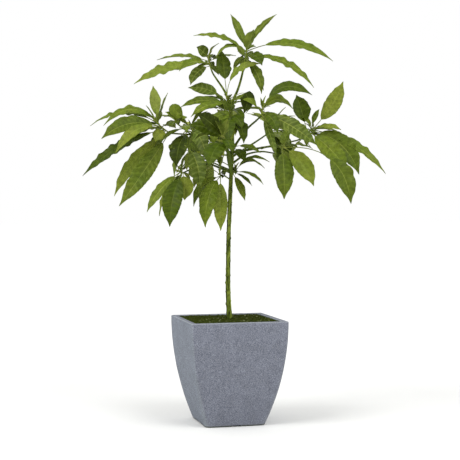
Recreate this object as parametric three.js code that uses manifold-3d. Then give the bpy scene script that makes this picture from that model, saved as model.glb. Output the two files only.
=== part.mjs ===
// A young avocado tree in a square stone-grey planter. Millimetres, +Z up, origin at the centre of the
// planter's underside, the planter's sides along X and Y. The tree has its own frame: right, back and up,
// turned a little against the planter.
import * as THREE from "three";
import { mergeVertices } from "three/addons/utils/BufferGeometryUtils.js";
import Module from "manifold-3d";

const wasm = await Module();
wasm.setup();

// Planter
const POT_HEIGHT = 435;
const RIM_HALF = 204; // half the outer side at the rim
const FOOT_HALF = 127.5; // half the outer side at the foot
const BULGE = 2.1; // how late the wall curves in towards the foot
const WALL = 23.5;
const FLOOR = 32;
const CORNER = { rim: 8, foot: 24 }; // radius of the upright edges
const RIM_ROUND = 4;
const WALL_STEPS = 7;
const CORNER_STEPS = 4; // facets round one upright edge
const NOTCH = { wide: 36, deep: 26, high: 5 }; // drainage notch under the middle of each side
const SOIL_TOP = 433.5;
const SOIL_CLEAR = 0.35; // between the soil and the planter's wall
const GAP = 0.3; // clearance between neighbouring solids
const CUT_OVER = 0.05; // how much more than the gap a limb is fattened by when it cuts its neighbours

// Tree
const TREE_TURN = THREE.MathUtils.degToRad(-14.6);
const LIMB_STEP = 60; // length of one straight piece of a limb
const LIMB_SIDES = 6;
const TRUNK_SIDES = 8;
const FLARE_FALL = 28; // how fast the root flare dies away up the trunk
const STEM = { radius: [3, 2.2], steps: 2, sides: 4 };

// Leaves
const STALK = 0.13; // a leaf stalk's usual share of the whole leaf
const STALK_RADIUS = 2;
const LEAF_THICK = 0.011; // of its length
const LEAF_KEEL = 0.05; // how far the midrib hangs below the edges at least, of the width
const BLADE = { shoulder: 0.9, fullness: 0.76, narrowing: 0.15 }; // a blade's outline
const SHORT_LEAF = 105;
const LONG_LEAF = 200;
const BLADE_STATIONS = { short: [0.2, 0.65], middling: [0.12, 0.46, 0.82], long: [0.07, 0.3, 0.6, 0.86] };

// Room in the crown
const LEAF_CLEAR = 13; // least distance between leaves of two masses, at their sample points
const LIMB_CLEAR = 10; // least distance between a leaf and a limb that doesn't carry it
const LEAN_STEPS = [0, 20, -20, 40, -40, 60, -60]; // how far a leaf may lean back or forward
const TURN_STEPS = [0, 35, -35, 70, -70, 110, -110]; // degrees a leaf of the rule may turn
const EYE = { right: 7, far: 5000, up: 932 }; // where the crown is looked at and through from
// Gaps that stay open through the crown: left, right, low and high side of each
const OPEN_GAPS = [
  [145, 275, 1435, 1505], [0, 30, 1400, 1460], [-115, -65, 1420, 1455], [-250, -150, 1360, 1460],
  [-180, -150, 1260, 1335], [345, 390, 1260, 1415], [40, 135, 1200, 1270], [105, 170, 1170, 1240],
  [40, 180, 935, 1085], [75, 180, 1125, 1145], [370, 415, 930, 1120], [-345, -235, 1030, 1070],
  [-285, -235, 1030, 1160], [-180, -130, 870, 980], [-60, -25, 1385, 1430], [35, 300, 785, 930],
  [400, 450, 1250, 1280], [325, 405, 1085, 1140], [295, 350, 1110, 1150], [263, 288, 1166, 1193],
  [270, 300, 930, 1050], [300, 360, 930, 1000], [-14, 40, 880, 1012], [-52, -7, 1057, 1080],
  [-58, -30, 1012, 1057],
];
const VIEW_ROWS = 9; // points along a leaf's middle by which it is seen to hide another
const VIEW_OVERLAP = 0.7; // of two leaves' half widths together, nearer than which one hides the other
const HIDDEN_MOST = 2; // how many of its points may hide a leading leaf
const SAMPLE_ROWS = 13; // rows of sample points along a leaf
const SAMPLE_START = 0.04;
const LIMB_SAMPLE = 12; // spacing of sample points along a limb

// Seeded leaves: each value is [at the young tip or least, how much more with age or chance]
const GOLDEN = 137.5; // turn from one leaf to the next, degrees
const RULE = {
  slope: [55, -105], // degrees above level
  slopeChance: 24,
  length: [0.4, 0.6], // of the mass's span
  lengthChance: [0.85, 0.25],
  arch: [0.08, 0.08], // of the leaf's length
  width: [0.26, 0.07],
  rollChance: 50, // degrees
  foot: [0.95, -0.85], // share of the stem
};

const COLOURS = {
  planter: 0x80848f,
  soil: 0x3a3a20,
  bark: 0x5c7030,
  leaf: 0x67802f,
};

// ---------- solids ----------

// A column along Y, closed at both ends: sides facets round and one ring for each station.
function column(sides, stations) {
  const rings = stations.map((at) => new THREE.Vector2(1, at));
  const last = stations[stations.length - 1];
  const profile = [new THREE.Vector2(0, stations[0]), ...rings, new THREE.Vector2(0, last)];
  return new THREE.LatheGeometry(profile, sides);
}

// Moves each vertex of a geometry to place(vertex), in place.
function reshape(geometry, place) {
  const position = geometry.getAttribute("position");
  const vertex = new THREE.Vector3();
  for (let i = 0; i < position.count; i++) {
    vertex.fromBufferAttribute(position, i);
    const moved = place(vertex);
    position.setXYZ(i, moved.x, moved.y, moved.z);
  }
  return geometry;
}

// A closed geometry as a solid that can be cut and joined.
function toSolid(geometry) {
  const bare = new THREE.BufferGeometry();
  bare.setAttribute("position", geometry.getAttribute("position"));
  bare.setIndex(geometry.index);
  const merged = mergeVertices(bare, 1e-4);
  const corners = merged.index.array;
  const triVerts = [];
  for (let i = 0; i < corners.length; i += 3) {
    const [a, b, c] = [corners[i], corners[i + 1], corners[i + 2]];
    if (a !== b && b !== c && c !== a) triVerts.push(a, b, c);
  }
  const mesh = new wasm.Mesh({
    numProp: 3,
    vertProperties: merged.getAttribute("position").array,
    triVerts: new Uint32Array(triVerts),
  });
  const solid = new wasm.Manifold(mesh);
  if (solid.volume() > 0) return solid;
  mesh.triVerts.reverse();
  return new wasm.Manifold(mesh);
}

function toMesh(name, solid, colour, roughness) {
  const { vertProperties, triVerts } = solid.getMesh();
  const geometry = new THREE.BufferGeometry();
  geometry.setAttribute("position", new THREE.BufferAttribute(new Float32Array(vertProperties), 3));
  geometry.setIndex(new THREE.BufferAttribute(new Uint32Array(triVerts), 1));
  geometry.computeVertexNormals();
  const mesh = new THREE.Mesh(geometry, new THREE.MeshStandardMaterial({ color: colour, roughness }));
  mesh.name = name;
  return mesh;
}

const join = (solids) => solids.reduce((whole, solid) => whole.add(solid));

// The largest body of a solid that a cut may have left in several.
function largest(solid) {
  const bodies = solid.decompose();
  return bodies.reduce((most, body) => (body.volume() > most.volume() ? body : most));
}

function box(width, depth, height, x, y, z) {
  return toSolid(new THREE.BoxGeometry(width, depth, height).translate(x, y, z));
}

// ---------- planter ----------

// Half the outer side at a height.
function wallHalf(height) {
  return RIM_HALF - (RIM_HALF - FOOT_HALF) * (1 - height / POT_HEIGHT) ** BULGE;
}

// Radius of the upright edges at a height.
function cornerRadius(height) {
  return CORNER.foot + (CORNER.rim - CORNER.foot) * (height / POT_HEIGHT);
}

// A square tub from a profile of [half side, height], its upright edges rounded.
function squareTub(profile) {
  const perSide = CORNER_STEPS + 1;
  const sides = 4 * perSide;
  const geometry = new THREE.LatheGeometry(
    profile.map(([half, height]) => new THREE.Vector2(half, height)),
    sides,
  );
  return reshape(geometry, (vertex) => {
    const half = Math.hypot(vertex.x, vertex.z);
    const radius = Math.min(cornerRadius(vertex.y), half);
    const turn = Math.atan2(vertex.x, vertex.z) / (2 * Math.PI) + 1;
    const step = Math.round(turn * sides) % sides;
    const quarter = Math.floor(step / perSide);
    const angle = (quarter + (step % perSide) / CORNER_STEPS) * (Math.PI / 2);
    const middle = (quarter + 0.5) * (Math.PI / 2);
    const reach = (half - radius) * Math.SQRT2;
    return new THREE.Vector3(
      reach * Math.cos(middle) + radius * Math.cos(angle),
      reach * Math.sin(middle) + radius * Math.sin(angle),
      vertex.y,
    );
  });
}

// Heights of the wall's facets, from the ground to the rim's rounding.
const WALL_HEIGHTS = Array.from(
  { length: WALL_STEPS + 1 },
  (_, i) => ((POT_HEIGHT - RIM_ROUND) * i) / WALL_STEPS,
);

function planter() {
  const outer = WALL_HEIGHTS.map((height) => [wallHalf(height), height]);
  const inner = WALL_HEIGHTS.filter((height) => height > FLOOR)
    .map((height) => [wallHalf(height) - WALL, height])
    .reverse();
  const rim = [
    [RIM_HALF - RIM_ROUND, POT_HEIGHT],
    [RIM_HALF - WALL + RIM_ROUND, POT_HEIGHT],
  ];
  const floor = [
    [wallHalf(FLOOR) - WALL, FLOOR],
    [0, FLOOR],
  ];
  const tub = toSolid(squareTub([[0, 0], ...outer, ...rim, ...inner, ...floor]));
  const { wide, deep, high } = NOTCH;
  const across = box(2 * FOOT_HALF + deep, wide, 2 * high, 0, 0, 0);
  const along = box(wide, 2 * FOOT_HALF + deep, 2 * high, 0, 0, 0);
  const middle = 2 * (FOOT_HALF - deep);
  return tub.subtract(across.add(along).subtract(box(middle, middle, 4 * high, 0, 0, 0)));
}

// Soil to just under the rim, clear of the planter all round.
function soil() {
  const inside = WALL_HEIGHTS.filter((height) => height > FLOOR && height < SOIL_TOP);
  const sides = [FLOOR + GAP, ...inside, SOIL_TOP].map((height) => {
    return [wallHalf(height) - WALL - SOIL_CLEAR, height];
  });
  return toSolid(squareTub([[0, FLOOR + GAP], ...sides, [0, SOIL_TOP]]));
}

// ---------- limbs ----------

// Each limb: the places it passes, in right, back and up, and its radius at foot and tip.
const LIMBS = {
  trunk: {
    path: [
      [4, 20, 415], [3, 20, 461], [-1, 20, 545], [-1, 20, 650], [1, 20, 776],
      [5, 18, 880], [11, 17, 1028], [17, 15, 1184], [13, 12, 1270], [10, 12, 1324],
    ],
    radius: [10.8, 7.4],
    flare: 2.5,
  },
  leader: {
    path: [
      [10, 12, 1318], [24, 8, 1358], [40, 0, 1394], [54, -8, 1440], [66, -12, 1495],
      [71, -15, 1520],
    ],
    radius: [6, 3.6],
  },
  left_fork: {
    path: [
      [10, 12, 1310], [2, 15, 1346], [-18, 20, 1392], [-48, 29, 1438], [-66, 34, 1466],
      [-76, 38, 1494],
    ],
    radius: [5.4, 3.2],
  },
  right_upper_bough: {
    path: [
      [17, 14, 1140], [36, -25, 1171], [62, -70, 1204], [82, -105, 1228], [116, -170, 1255],
      [133, -215, 1270],
    ],
    radius: [5.2, 3.2],
  },
  right_lower_bough: {
    path: [[15, 15, 1131], [60, 14, 1138], [115, -10, 1146], [173, -60, 1152], [208, -110, 1149]],
    radius: [5.4, 3],
  },
  right_far_bough: {
    path: [
      [138, -28, 1148], [172, 0, 1156], [206, 28, 1160], [236, 48, 1162],
      [268, 58, 1178], [298, 62, 1187], [330, 60, 1210],
    ],
    radius: [4, 3],
  },
  left_bough: {
    path: [
      [15, 14, 1180], [-24, 4, 1188], [-60, -6, 1192], [-116, -20, 1201], [-182, -30, 1205],
      [-243, -32, 1209],
    ],
    radius: [5.2, 3],
  },
  left_inner_bough: {
    path: [[-138, -24, 1203], [-156, -45, 1206], [-169, -65, 1213]],
    radius: [3, 2.6],
  },
  left_lower_bough: {
    path: [
      [11, 15, 1046], [-30, -25, 1063], [-75, -80, 1080],
      [-101, -115, 1092], [-132, -155, 1125], [-152, -190, 1134],
    ],
    radius: [5, 3],
  },
  low_left_bough: {
    path: [[-82, -88, 1083], [-118, -105, 1076], [-155, -125, 1056], [-185, -140, 1042]],
    radius: [3.4, 2.8],
  },
  front_bough: {
    path: [[14, 15, 1076], [8, -60, 1100], [0, -160, 1128], [-8, -260, 1160]],
    radius: [5, 3],
  },
  front_upper_bough: {
    path: [[14, 13, 1222], [13, -30, 1240], [8, -105, 1268]],
    radius: [4.4, 3],
  },
  back_left_bough: {
    path: [[15, 15, 1152], [-50, 120, 1182], [-112, 220, 1208], [-150, 290, 1228]],
    radius: [5, 3],
  },
  back_right_bough: {
    path: [[14, 16, 1112], [70, 110, 1150], [136, 210, 1196], [176, 280, 1226]],
    radius: [5, 3],
  },
  back_bough: {
    path: [[15, 14, 1205], [8, 100, 1236], [-4, 200, 1272], [-10, 270, 1300]],
    radius: [4.6, 3],
  },
  low_back_left_bough: {
    path: [[12, 17, 1054], [-24, 100, 1072], [-62, 190, 1092]],
    radius: [4.6, 3],
  },
  low_back_right_bough: {
    path: [[15, 16, 1084], [70, 70, 1122], [140, 150, 1140], [200, 220, 1136]],
    radius: [4.6, 3],
  },
};

// A bent and tapering limb or twig on its centre line, its ends pushed out by over.
function taperedLimb(curve, steps, sides, radiusAt, over = 0) {
  const frames = curve.computeFrenetFrames(steps, false);
  const stations = Array.from({ length: steps + 1 }, (_, i) => i);
  return reshape(column(sides, stations), (vertex) => {
    const step = Math.round(vertex.y);
    const push = (step === steps ? over : 0) - (step === 0 ? over : 0);
    const centre = curve.getPointAt(step / steps).addScaledVector(frames.tangents[step], push);
    const radius = Math.hypot(vertex.x, vertex.z) > 0.5 ? radiusAt(step / steps) : 0;
    return centre
      .addScaledVector(frames.normals[step], vertex.x * radius)
      .addScaledVector(frames.binormals[step], vertex.z * radius);
  });
}

const vector = (place) => new THREE.Vector3(...place);
const curveOf = (path) => new THREE.CatmullRomCurve3(path.map(vector), false, "centripetal");

// The radius along a limb: even taper, with a flare over the first few percent of a trunk.
function limbRadius(limb, spare) {
  const [foot, tip] = limb.radius;
  const flare = limb.flare ?? 0;
  return (at) => foot + (tip - foot) * at + flare * Math.exp(-at * FLARE_FALL) + spare;
}

// A limb, or with a spare the limb fattened by it.
function limbSolid(limb, spare = 0) {
  const curve = curveOf(limb.path);
  const steps = Math.max(4, Math.round(curve.getLength() / LIMB_STEP));
  const sides = limb.flare ? TRUNK_SIDES : LIMB_SIDES;
  return toSolid(taperedLimb(curve, steps, sides, limbRadius(limb, spare), spare));
}

// ---------- leaves and foliage masses ----------

// Repeatable random numbers between 0 and 1 from a seed.
function seeded(seed) {
  let state = (seed * 7919 + 13) % 2147483647;
  return () => {
    state = (state * 16807) % 2147483647;
    return state / 2147483647;
  };
}

// How wide a blade is at a share of its length, as a share of its greatest width.
function outline(at) {
  return Math.sin(Math.PI * at ** BLADE.shoulder) ** BLADE.fullness * (1 - BLADE.narrowing * at ** 3);
}

// One leaf: where it springs from, how far its tip lies from there in right, back and up, how far its
// back arches above the straight line, its greatest width, its roll about the midrib in degrees and its
// stalk's share.
function leaf(foot, reach, arch, width, roll = 0, stalk = STALK) {
  const length = reach.length();
  const along = reach.clone().normalize();
  const upper = new THREE.Vector3(0, 0, 1).addScaledVector(along, -along.z).normalize();
  const peak = foot.clone().addScaledVector(reach, 0.5).addScaledVector(upper, 2 * arch);
  const curve = new THREE.QuadraticBezierCurve3(foot, peak, foot.clone().add(reach));
  const face = upper.applyAxisAngle(along, THREE.MathUtils.degToRad(roll));
  return { curve, face, length, width, stalk };
}

// A leaf's middle, its direction across and its upper side, at a share of its whole length.
function leafFrame({ curve, face }, at) {
  const tangent = curve.getTangent(at);
  const up = face.clone().addScaledVector(tangent, -face.dot(tangent)).normalize();
  return { middle: curve.getPoint(at), across: tangent.clone().cross(up), up };
}

function leafSolid(blade) {
  const { length, width, stalk } = blade;
  const thick = Math.max(length * LEAF_THICK, width * LEAF_KEEL);
  const size = length < SHORT_LEAF ? "short" : length < LONG_LEAF ? "middling" : "long";
  const bladeStations = BLADE_STATIONS[size].map((at) => stalk + (1 - stalk) * at);
  const stations = [0, stalk, ...bladeStations, 1];
  const last = stations.length - 1;
  const geometry = column(3, stations.map((_, i) => i));
  return toSolid(reshape(geometry, (vertex) => {
    const step = Math.round(vertex.y);
    const at = stations[step];
    const { middle, across, up } = leafFrame(blade, at);
    if (Math.hypot(vertex.x, vertex.z) < 0.5 || step === last) return middle;
    const share = (at - stalk) / (1 - stalk);
    if (step < 2) {
      return middle
        .addScaledVector(across, vertex.x * STALK_RADIUS)
        .addScaledVector(up, -vertex.z * STALK_RADIUS);
    }
    const side = Math.abs(vertex.x) < 0.1 ? 0 : Math.sign(vertex.x);
    const rise = side ? thick / 2 : -thick / 2;
    return middle.addScaledVector(across, (side * outline(share) * width) / 2).addScaledVector(up, rise);
  }));
}

// Points over a leaf by which its distance from its neighbours is judged.
function leafSamples(blade) {
  const { width, stalk } = blade;
  const samples = [];
  for (let i = 1; i <= SAMPLE_ROWS; i++) {
    const at = SAMPLE_START + ((1 - SAMPLE_START) * i) / SAMPLE_ROWS;
    const { middle, across } = leafFrame(blade, at);
    const share = (at - stalk) / (1 - stalk);
    const half = share > 0 ? (outline(Math.min(share, 1)) * width) / 2 : 0;
    const spread = half > 3 ? [-1, -0.5, 0, 0.5, 1] : [0];
    for (const side of spread) samples.push(middle.clone().addScaledVector(across, side * half));
  }
  return samples;
}

// What already stands in the crown: leaves' sample points by mass, and limbs' and stems' centre lines.
const taken = [];

function occupy(owner, points, clear) {
  const sphere = new THREE.Sphere().setFromPoints(points);
  taken.push({ owner, points, clear, sphere });
}

function isClear(owner, carriers, points) {
  const sphere = new THREE.Sphere().setFromPoints(points);
  for (const other of taken) {
    if (other.owner === owner || carriers.includes(other.owner)) continue;
    const near = sphere.radius + other.sphere.radius + other.clear;
    if (sphere.center.distanceToSquared(other.sphere.center) > near * near) continue;
    const least = other.clear * other.clear;
    for (const a of points) {
      for (const b of other.points) {
        if (a.distanceToSquared(b) < least) return false;
      }
    }
  }
  return true;
}

// Each mass: the limb that carries it, the path of its stem, its seed, how many leaves the seeded rule
// adds, their greatest length, the bearing about which they gather (0 right, 90 back, 180 left, 270
// front) and how far to each side, and its leading leaves, as
// [share of the stem, right, back, up, arch, width, roll, stalk].
const MASSES = {
  crown_top: {
    on: "leader",
    stem: [[71, -15, 1520], [74, -17, 1542], [76, -18, 1562]],
    seed: 1,
    extra: 6,
    span: 170,
    bearing: 90,
    spread: 60,
    leaves: [
      [0.9, -67, 22, 151, 6, 40, 70], [1, 125, -32, 138, 12, 28, -50], [0.6, 32, -34, 92, 2, 60, 0],
      [0.7, 357, -60, -47, 54, 54, 45, 0.2], [0.7, -222, 40, 72, 28, 34, -38],
      [0.7, -128, 12, -26, 38, 34, -34], [0.1, -39, -12, 54, 3, 26, 60],
      [0.25, 280, -75, -139, 48, 44, 40], [0.4, 65, -95, -56, 20, 60, 20],
      [0, 66, -60, -153, 22, 46, 30],
    ],
  },
  crown_left: {
    on: "left_fork",
    stem: [[-76, 38, 1494], [-81, 40, 1513], [-87, 42, 1532]],
    seed: 22,
    extra: 6,
    span: 170,
    bearing: 90,
    spread: 70,
    leaves: [
      [0.35, -317, -34, -91, 30, 56, -50], [0.55, -224, 60, 14, 18, 44, -25],
      [0.15, -127, -92, -36, 28, 46, -38], [0.85, -48, -30, 46, 6, 56, -80],
      [0.1, -58, 65, -14, 14, 40, -40], [0.05, -82, -40, -84, 18, 54, -40], [0.7, 18, 30, 30, 3, 24],
    ],
  },
  fork_spray: {
    on: "trunk",
    stem: [[10, 8, 1296], [4, -12, 1322], [-6, -26, 1352]],
    seed: 3,
    extra: 2,
    span: 120,
    bearing: 270,
    spread: 60,
    leaves: [
      [0.95, -26, 26, 222, 4, 68, 0, 0.4], [1, 146, -25, 145, 55, 48, 52, 0.28],
      [0.5, -203, -40, -8, 27, 44, -50], [0.6, -157, -65, -56, 26, 40, -50],
      [0.7, -126, 35, 22, 16, 28, -20], [0.7, -170, 35, 68, 22, 62, -55, 0.32],
      [0.6, 118, -50, -18, 40, 44, 40], [0.3, 56, -75, -60, 18, 44, 0],
      [0.35, -54, -105, -129, 25, 62, -10], [0.3, -19, -110, -80, 20, 34],
      [0.9, 68, -20, -58, 70, 62, 55, 0.42],
    ],
  },
  upper_front: {
    on: "front_upper_bough",
    stem: [[8, -105, 1268], [7, -118, 1278], [6, -132, 1290]],
    seed: 4,
    extra: 3,
    span: 130,
    bearing: 270,
    spread: 60,
    leaves: [
      [0.1, -70, -60, -120, 24, 58, -20], [0.3, 55, -55, -115, 24, 54, 20],
      [0.2, -10, -80, -140, 26, 58], [0.5, 50, -60, -60, 16, 46, 30],
      [0.6, -75, -50, -40, 16, 48, -30], [0.9, 10, -70, 30, 6, 34], [1, -25, -30, 55, 3, 26],
      [0.95, 30, -20, 50, 3, 22],
    ],
  },
  right_upper: {
    on: "right_upper_bough",
    stem: [[133, -215, 1270], [134, -222, 1282], [137, -230, 1296]],
    seed: 5,
    extra: 4,
    span: 120,
    bearing: 70,
    spread: 70,
    leaves: [
      [0.6, 128, 64, 14, 42, 50, 45], [0.8, 199, -20, 57, 63, 56, 50, 0.18],
      [0.5, 214, -120, -139, 12, 66, 60], [0.2, 57, -65, -171, 8, 34, 30],
      [0.3, 62, -85, -88, 24, 46, 40], [1, -8, 10, 46, 2, 14], [1, 12, -5, 52, 2, 14],
      [0.7, -66, 20, -10, 20, 16],
    ],
  },
  right_middle: {
    on: "right_lower_bough",
    stem: [[208, -110, 1149], [218, -118, 1148], [228, -126, 1145]],
    seed: 6,
    extra: 2,
    span: 120,
    bearing: 80,
    spread: 90,
    leaves: [
      [0.6, 5, -75, -214, 14, 80, 0], [0.9, 119, -70, -159, 22, 76, 55], [0.5, 36, 20, 74, 4, 50, 20],
      [1, 264, -100, -230, 86, 90, 48, 0.5],
    ],
  },
  right_far: {
    on: "right_far_bough",
    stem: [[330, 60, 1210], [345, 58, 1222], [360, 55, 1233]],
    seed: 7,
    extra: 6,
    span: 190,
    bearing: 80,
    spread: 70,
    leaves: [
      [0.9, 130, 10, 204, -12, 70, 82, 0.22], [0.2, -46, 32, 165, 2, 76, -45, 0.28],
      [0.6, 36, -18, 91, 4, 46, 50, 0.3], [0.8, 307, -50, -188, 36, 54, 42],
      [0.6, 199, -70, -187, 44, 94, 58], [0.4, 154, -110, -164, 12, 84, 50],
      [1, 114, -50, -8, 12, 34, 40],
    ],
  },
  left_far: {
    on: "left_bough",
    stem: [[-243, -32, 1209], [-272, -39, 1230], [-303, -48, 1258]],
    seed: 8,
    extra: 6,
    span: 190,
    bearing: 100,
    spread: 70,
    leaves: [
      [0.05, -197, -140, -306, -6, 84, -45], [0.1, -225, -15, -268, 30, 60, -65],
      [0.35, -333, -72, -196, 32, 54, -45], [0.55, -238, -119, -56, 38, 74, -55],
      [0.6, -175, -150, -119, 42, 44, -50], [0.7, -227, -57, -7, 68, 46, -45],
      [0.8, -284, 15, -8, 52, 36, -35], [0.9, -13, -30, 150, 4, 52, 0, 0.2], [0.8, 39, 18, 131, 4, 28],
      [0.95, -39, -25, 67, 3, 24, -40], [0.7, -82, 25, -13, 14, 34, -30],
      [0.2, -46, -40, -46, 12, 58, -40],
    ],
  },
  left_inner: {
    on: "left_inner_bough",
    stem: [[-169, -65, 1213], [-192, -70, 1231], [-217, -75, 1250]],
    seed: 9,
    extra: 4,
    span: 120,
    bearing: 90,
    spread: 70,
    leaves: [
      [0.9, 34, 15, 38, 36, 90, 45], [0.8, -52, -20, 50, 10, 44, -45], [0, -42, -80, -150, 26, 80, 0],
      [0.05, 88, -120, -134, 40, 62, 50], [0.6, -40, -90, -10, 20, 44], [0.4, 20, -80, -20, 16, 40],
      [0.7, -60, 30, 5, 14, 40],
    ],
  },
  left_lower: {
    on: "left_lower_bough",
    stem: [[-152, -190, 1134], [-161, -197, 1140], [-170, -204, 1147]],
    seed: 10,
    extra: 3,
    span: 130,
    bearing: 100,
    spread: 80,
    leaves: [
      [0.3, 44, -65, -158, 24, 70, 35],
    ],
  },
  low_left: {
    on: "low_left_bough",
    stem: [[-185, -140, 1042], [-193, -145, 1045], [-203, -150, 1048]],
    seed: 11,
    extra: 4,
    span: 150,
    bearing: 90,
    spread: 70,
    leaves: [
      [0.5, -135, -45, -164, 18, 48, -50], [0.3, -44, -90, -221, 20, 84, -15],
      [0, 8, -26, -112, 12, 74, 10], [1, -41, -10, 43, 4, 26, -50], [0.6, -88, 30, -181, 14, 44, -40],
    ],
  },
  low_middle: {
    on: "trunk",
    stem: [[10, 16, 1016], [-14, -30, 1030], [-38, -70, 1037]],
    seed: 12,
    extra: 2,
    span: 110,
    bearing: 250,
    spread: 60,
    leaves: [
      [0.8, -66, -90, -217, 40, 72, -25], [0.9, 2, -65, -233, 18, 60, 5, 0.16],
      [0.7, -122, 5, -130, 30, 48, -50], [1, -49, -30, -12, 24, 14], [0.9, -6, 10, 95, 3, 28, 0, 0.4],
      [1, 22, -5, 88, 3, 28, 0, 0.4],
    ],
  },
  low_right: {
    on: "trunk",
    stem: [[11, 17, 1030], [22, 0, 1045], [32, -18, 1052]],
    seed: 13,
    extra: 3,
    span: 140,
    bearing: 70,
    spread: 50,
    leaves: [
      [0.9, 143, -30, 38, 38, 30, 30], [0.8, 126, 12, 14, 40, 26, 30],
      [0.7, 120, -60, -53, 20, 24, 25], [0.6, 75, -70, -57, 10, 18, 25],
      [0.4, 50, -55, -114, 8, 34, 30],
    ],
  },
  right_small: {
    on: "trunk",
    stem: [[17, 15, 1130], [28, -8, 1150], [34, -22, 1161]],
    seed: 14,
    extra: 0,
    span: 100,
    bearing: 300,
    spread: 40,
    leaves: [
      [0.8, 103, -45, -29, 14, 34, 35], [1, 82, -60, 34, 16, 24, 35], [0.5, 41, -80, -56, 14, 46, 20],
    ],
  },
  front: {
    on: "front_bough",
    stem: [[-8, -260, 1160], [-14, -274, 1169], [-22, -290, 1180]],
    seed: 15,
    extra: 7,
    span: 210,
    bearing: 270,
    spread: 45,
    leaves: [
      [0.2, -64, -124, -105, 26, 86, -10], [0.6, -106, -92, 94, 14, 70, -85],
      [0.4, -143, -28, 60, 16, 56, -75], [0.5, -84, 130, 7, 20, 50], [0.1, 22, -50, -140, 6, 22],
      [0.8, 35, -80, -60, 14, 50], [0.9, -30, -50, 64, 4, 38], [1, 20, -40, 70, 4, 34],
    ],
  },
  back_left: {
    on: "back_left_bough",
    stem: [[-150, 290, 1228], [-160, 306, 1240], [-172, 322, 1256]],
    seed: 16,
    extra: 16,
    span: 270,
    bearing: 105,
    spread: 120,
    leaves: [],
  },
  back_right: {
    on: "back_right_bough",
    stem: [[176, 280, 1226], [188, 296, 1238], [202, 312, 1254]],
    seed: 17,
    extra: 16,
    span: 270,
    bearing: 75,
    spread: 120,
    leaves: [],
  },
  back: {
    on: "back_bough",
    stem: [[-10, 270, 1300], [-12, 286, 1312], [-16, 302, 1328]],
    seed: 18,
    extra: 16,
    span: 250,
    bearing: 90,
    spread: 150,
    leaves: [],
  },
  low_back_left: {
    on: "low_back_left_bough",
    stem: [[-62, 190, 1092], [-67, 204, 1098], [-74, 220, 1106]],
    seed: 19,
    extra: 12,
    span: 220,
    bearing: 110,
    spread: 110,
    leaves: [],
  },
  low_back_right: {
    on: "low_back_right_bough",
    stem: [[200, 220, 1136], [212, 234, 1140], [224, 248, 1147]],
    seed: 20,
    extra: 12,
    span: 230,
    bearing: 70,
    spread: 110,
    leaves: [],
  },
};

// The seeded rule: leaves set round the stem by the golden angle, the lowest long and drooping, the youngest
// short and upright at its tip.
function seededLeaves(mass, stem) {
  const random = seeded(mass.seed);
  const made = [];
  for (let i = 0; i < mass.extra; i++) {
    const age = 1 - i / mass.extra;
    const swing = ((i * GOLDEN) / 360 + random()) % 1;
    const bearing = THREE.MathUtils.degToRad(mass.bearing + mass.spread * (2 * swing - 1));
    const tilt = RULE.slope[0] + RULE.slope[1] * age + RULE.slopeChance * (random() - 0.5);
    const slope = THREE.MathUtils.degToRad(tilt);
    const grown = RULE.length[0] + RULE.length[1] * age;
    const length = mass.span * grown * (RULE.lengthChance[0] + RULE.lengthChance[1] * random());
    const reach = new THREE.Vector3(
      length * Math.cos(slope) * Math.cos(bearing),
      length * Math.cos(slope) * Math.sin(bearing),
      length * Math.sin(slope),
    );
    const arch = length * (RULE.arch[0] + RULE.arch[1] * random());
    const width = length * (RULE.width[0] + RULE.width[1] * random());
    const roll = RULE.rollChance * (random() - 0.5);
    const foot = stem.getPointAt(RULE.foot[0] + RULE.foot[1] * age);
    made.push({ foot, reach, arch, width, roll });
  }
  return made;
}

// Where a point seems to be, across and up, to an eye in front of the tree.
function seen(point) {
  const share = EYE.far / (EYE.far + point.y);
  return { across: EYE.right + (point.x - EYE.right) * share, up: EYE.up + (point.z - EYE.up) * share };
}

// Whether a leaf leaves the crown's gaps open to the eye.
function keepsOpen(samples) {
  return samples.every((point) => {
    const { across, up } = seen(point);
    return !OPEN_GAPS.some(([left, right, low, high]) => {
      return across > left && across < right && up > low && up < high;
    });
  });
}

// A leaf's middle line as the eye sees it, with its half width and how far back it is at each point.
function middleSpots(blade) {
  const { curve, width, stalk } = blade;
  return Array.from({ length: VIEW_ROWS }, (_, i) => {
    const at = (i + 1) / VIEW_ROWS;
    const middle = curve.getPoint(at);
    const share = (at - stalk) / (1 - stalk);
    const half = share > 0 && share < 1 ? (outline(share) * width) / 2 : 0;
    return { ...seen(middle), back: middle.y, half };
  });
}

// The middle lines of the leading leaves, which the others leave in view.
const leading = [];

// Whether a leaf leaves the leading leaves behind it in the eye's view.
function keepsView(blade) {
  const hiding = middleSpots(blade).filter((spot) => leading.some((other) => {
    if (spot.back >= other.back) return false;
    const near = VIEW_OVERLAP * (spot.half + other.half);
    return (spot.across - other.across) ** 2 + (spot.up - other.up) ** 2 < near * near;
  }));
  return hiding.length <= HIDDEN_MOST;
}

// Stands one leaf in the crown, leaning it back or forward until it is clear of other masses and limbs.
// A leaf of the seeded rule may also turn about its stem, and leaves the crown's gaps and its leading leaves
// in view.
function settle(name, mass, { foot, reach, arch, width, roll, stalk }, isRuled = false) {
  for (const turn of isRuled ? TURN_STEPS : [0]) {
    const turned = reach.clone().applyAxisAngle(new THREE.Vector3(0, 0, 1), THREE.MathUtils.degToRad(turn));
    for (const lean of LEAN_STEPS) {
      const leant = turned.clone().add(new THREE.Vector3(0, lean, 0)).setLength(reach.length());
      const blade = leaf(foot, leant, arch, width, roll, stalk);
      const samples = leafSamples(blade);
      if (isRuled && !(keepsOpen(samples) && keepsView(blade))) continue;
      if (!isClear(name, [mass.on], samples)) continue;
      occupy(name, samples, LEAF_CLEAR);
      return blade;
    }
  }
  return null;
}

function leadingLeaf(stem, [at, right, back, up, arch, width, roll, stalk]) {
  return { foot: stem.getPointAt(at), reach: new THREE.Vector3(right, back, up), arch, width, roll, stalk };
}

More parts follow.
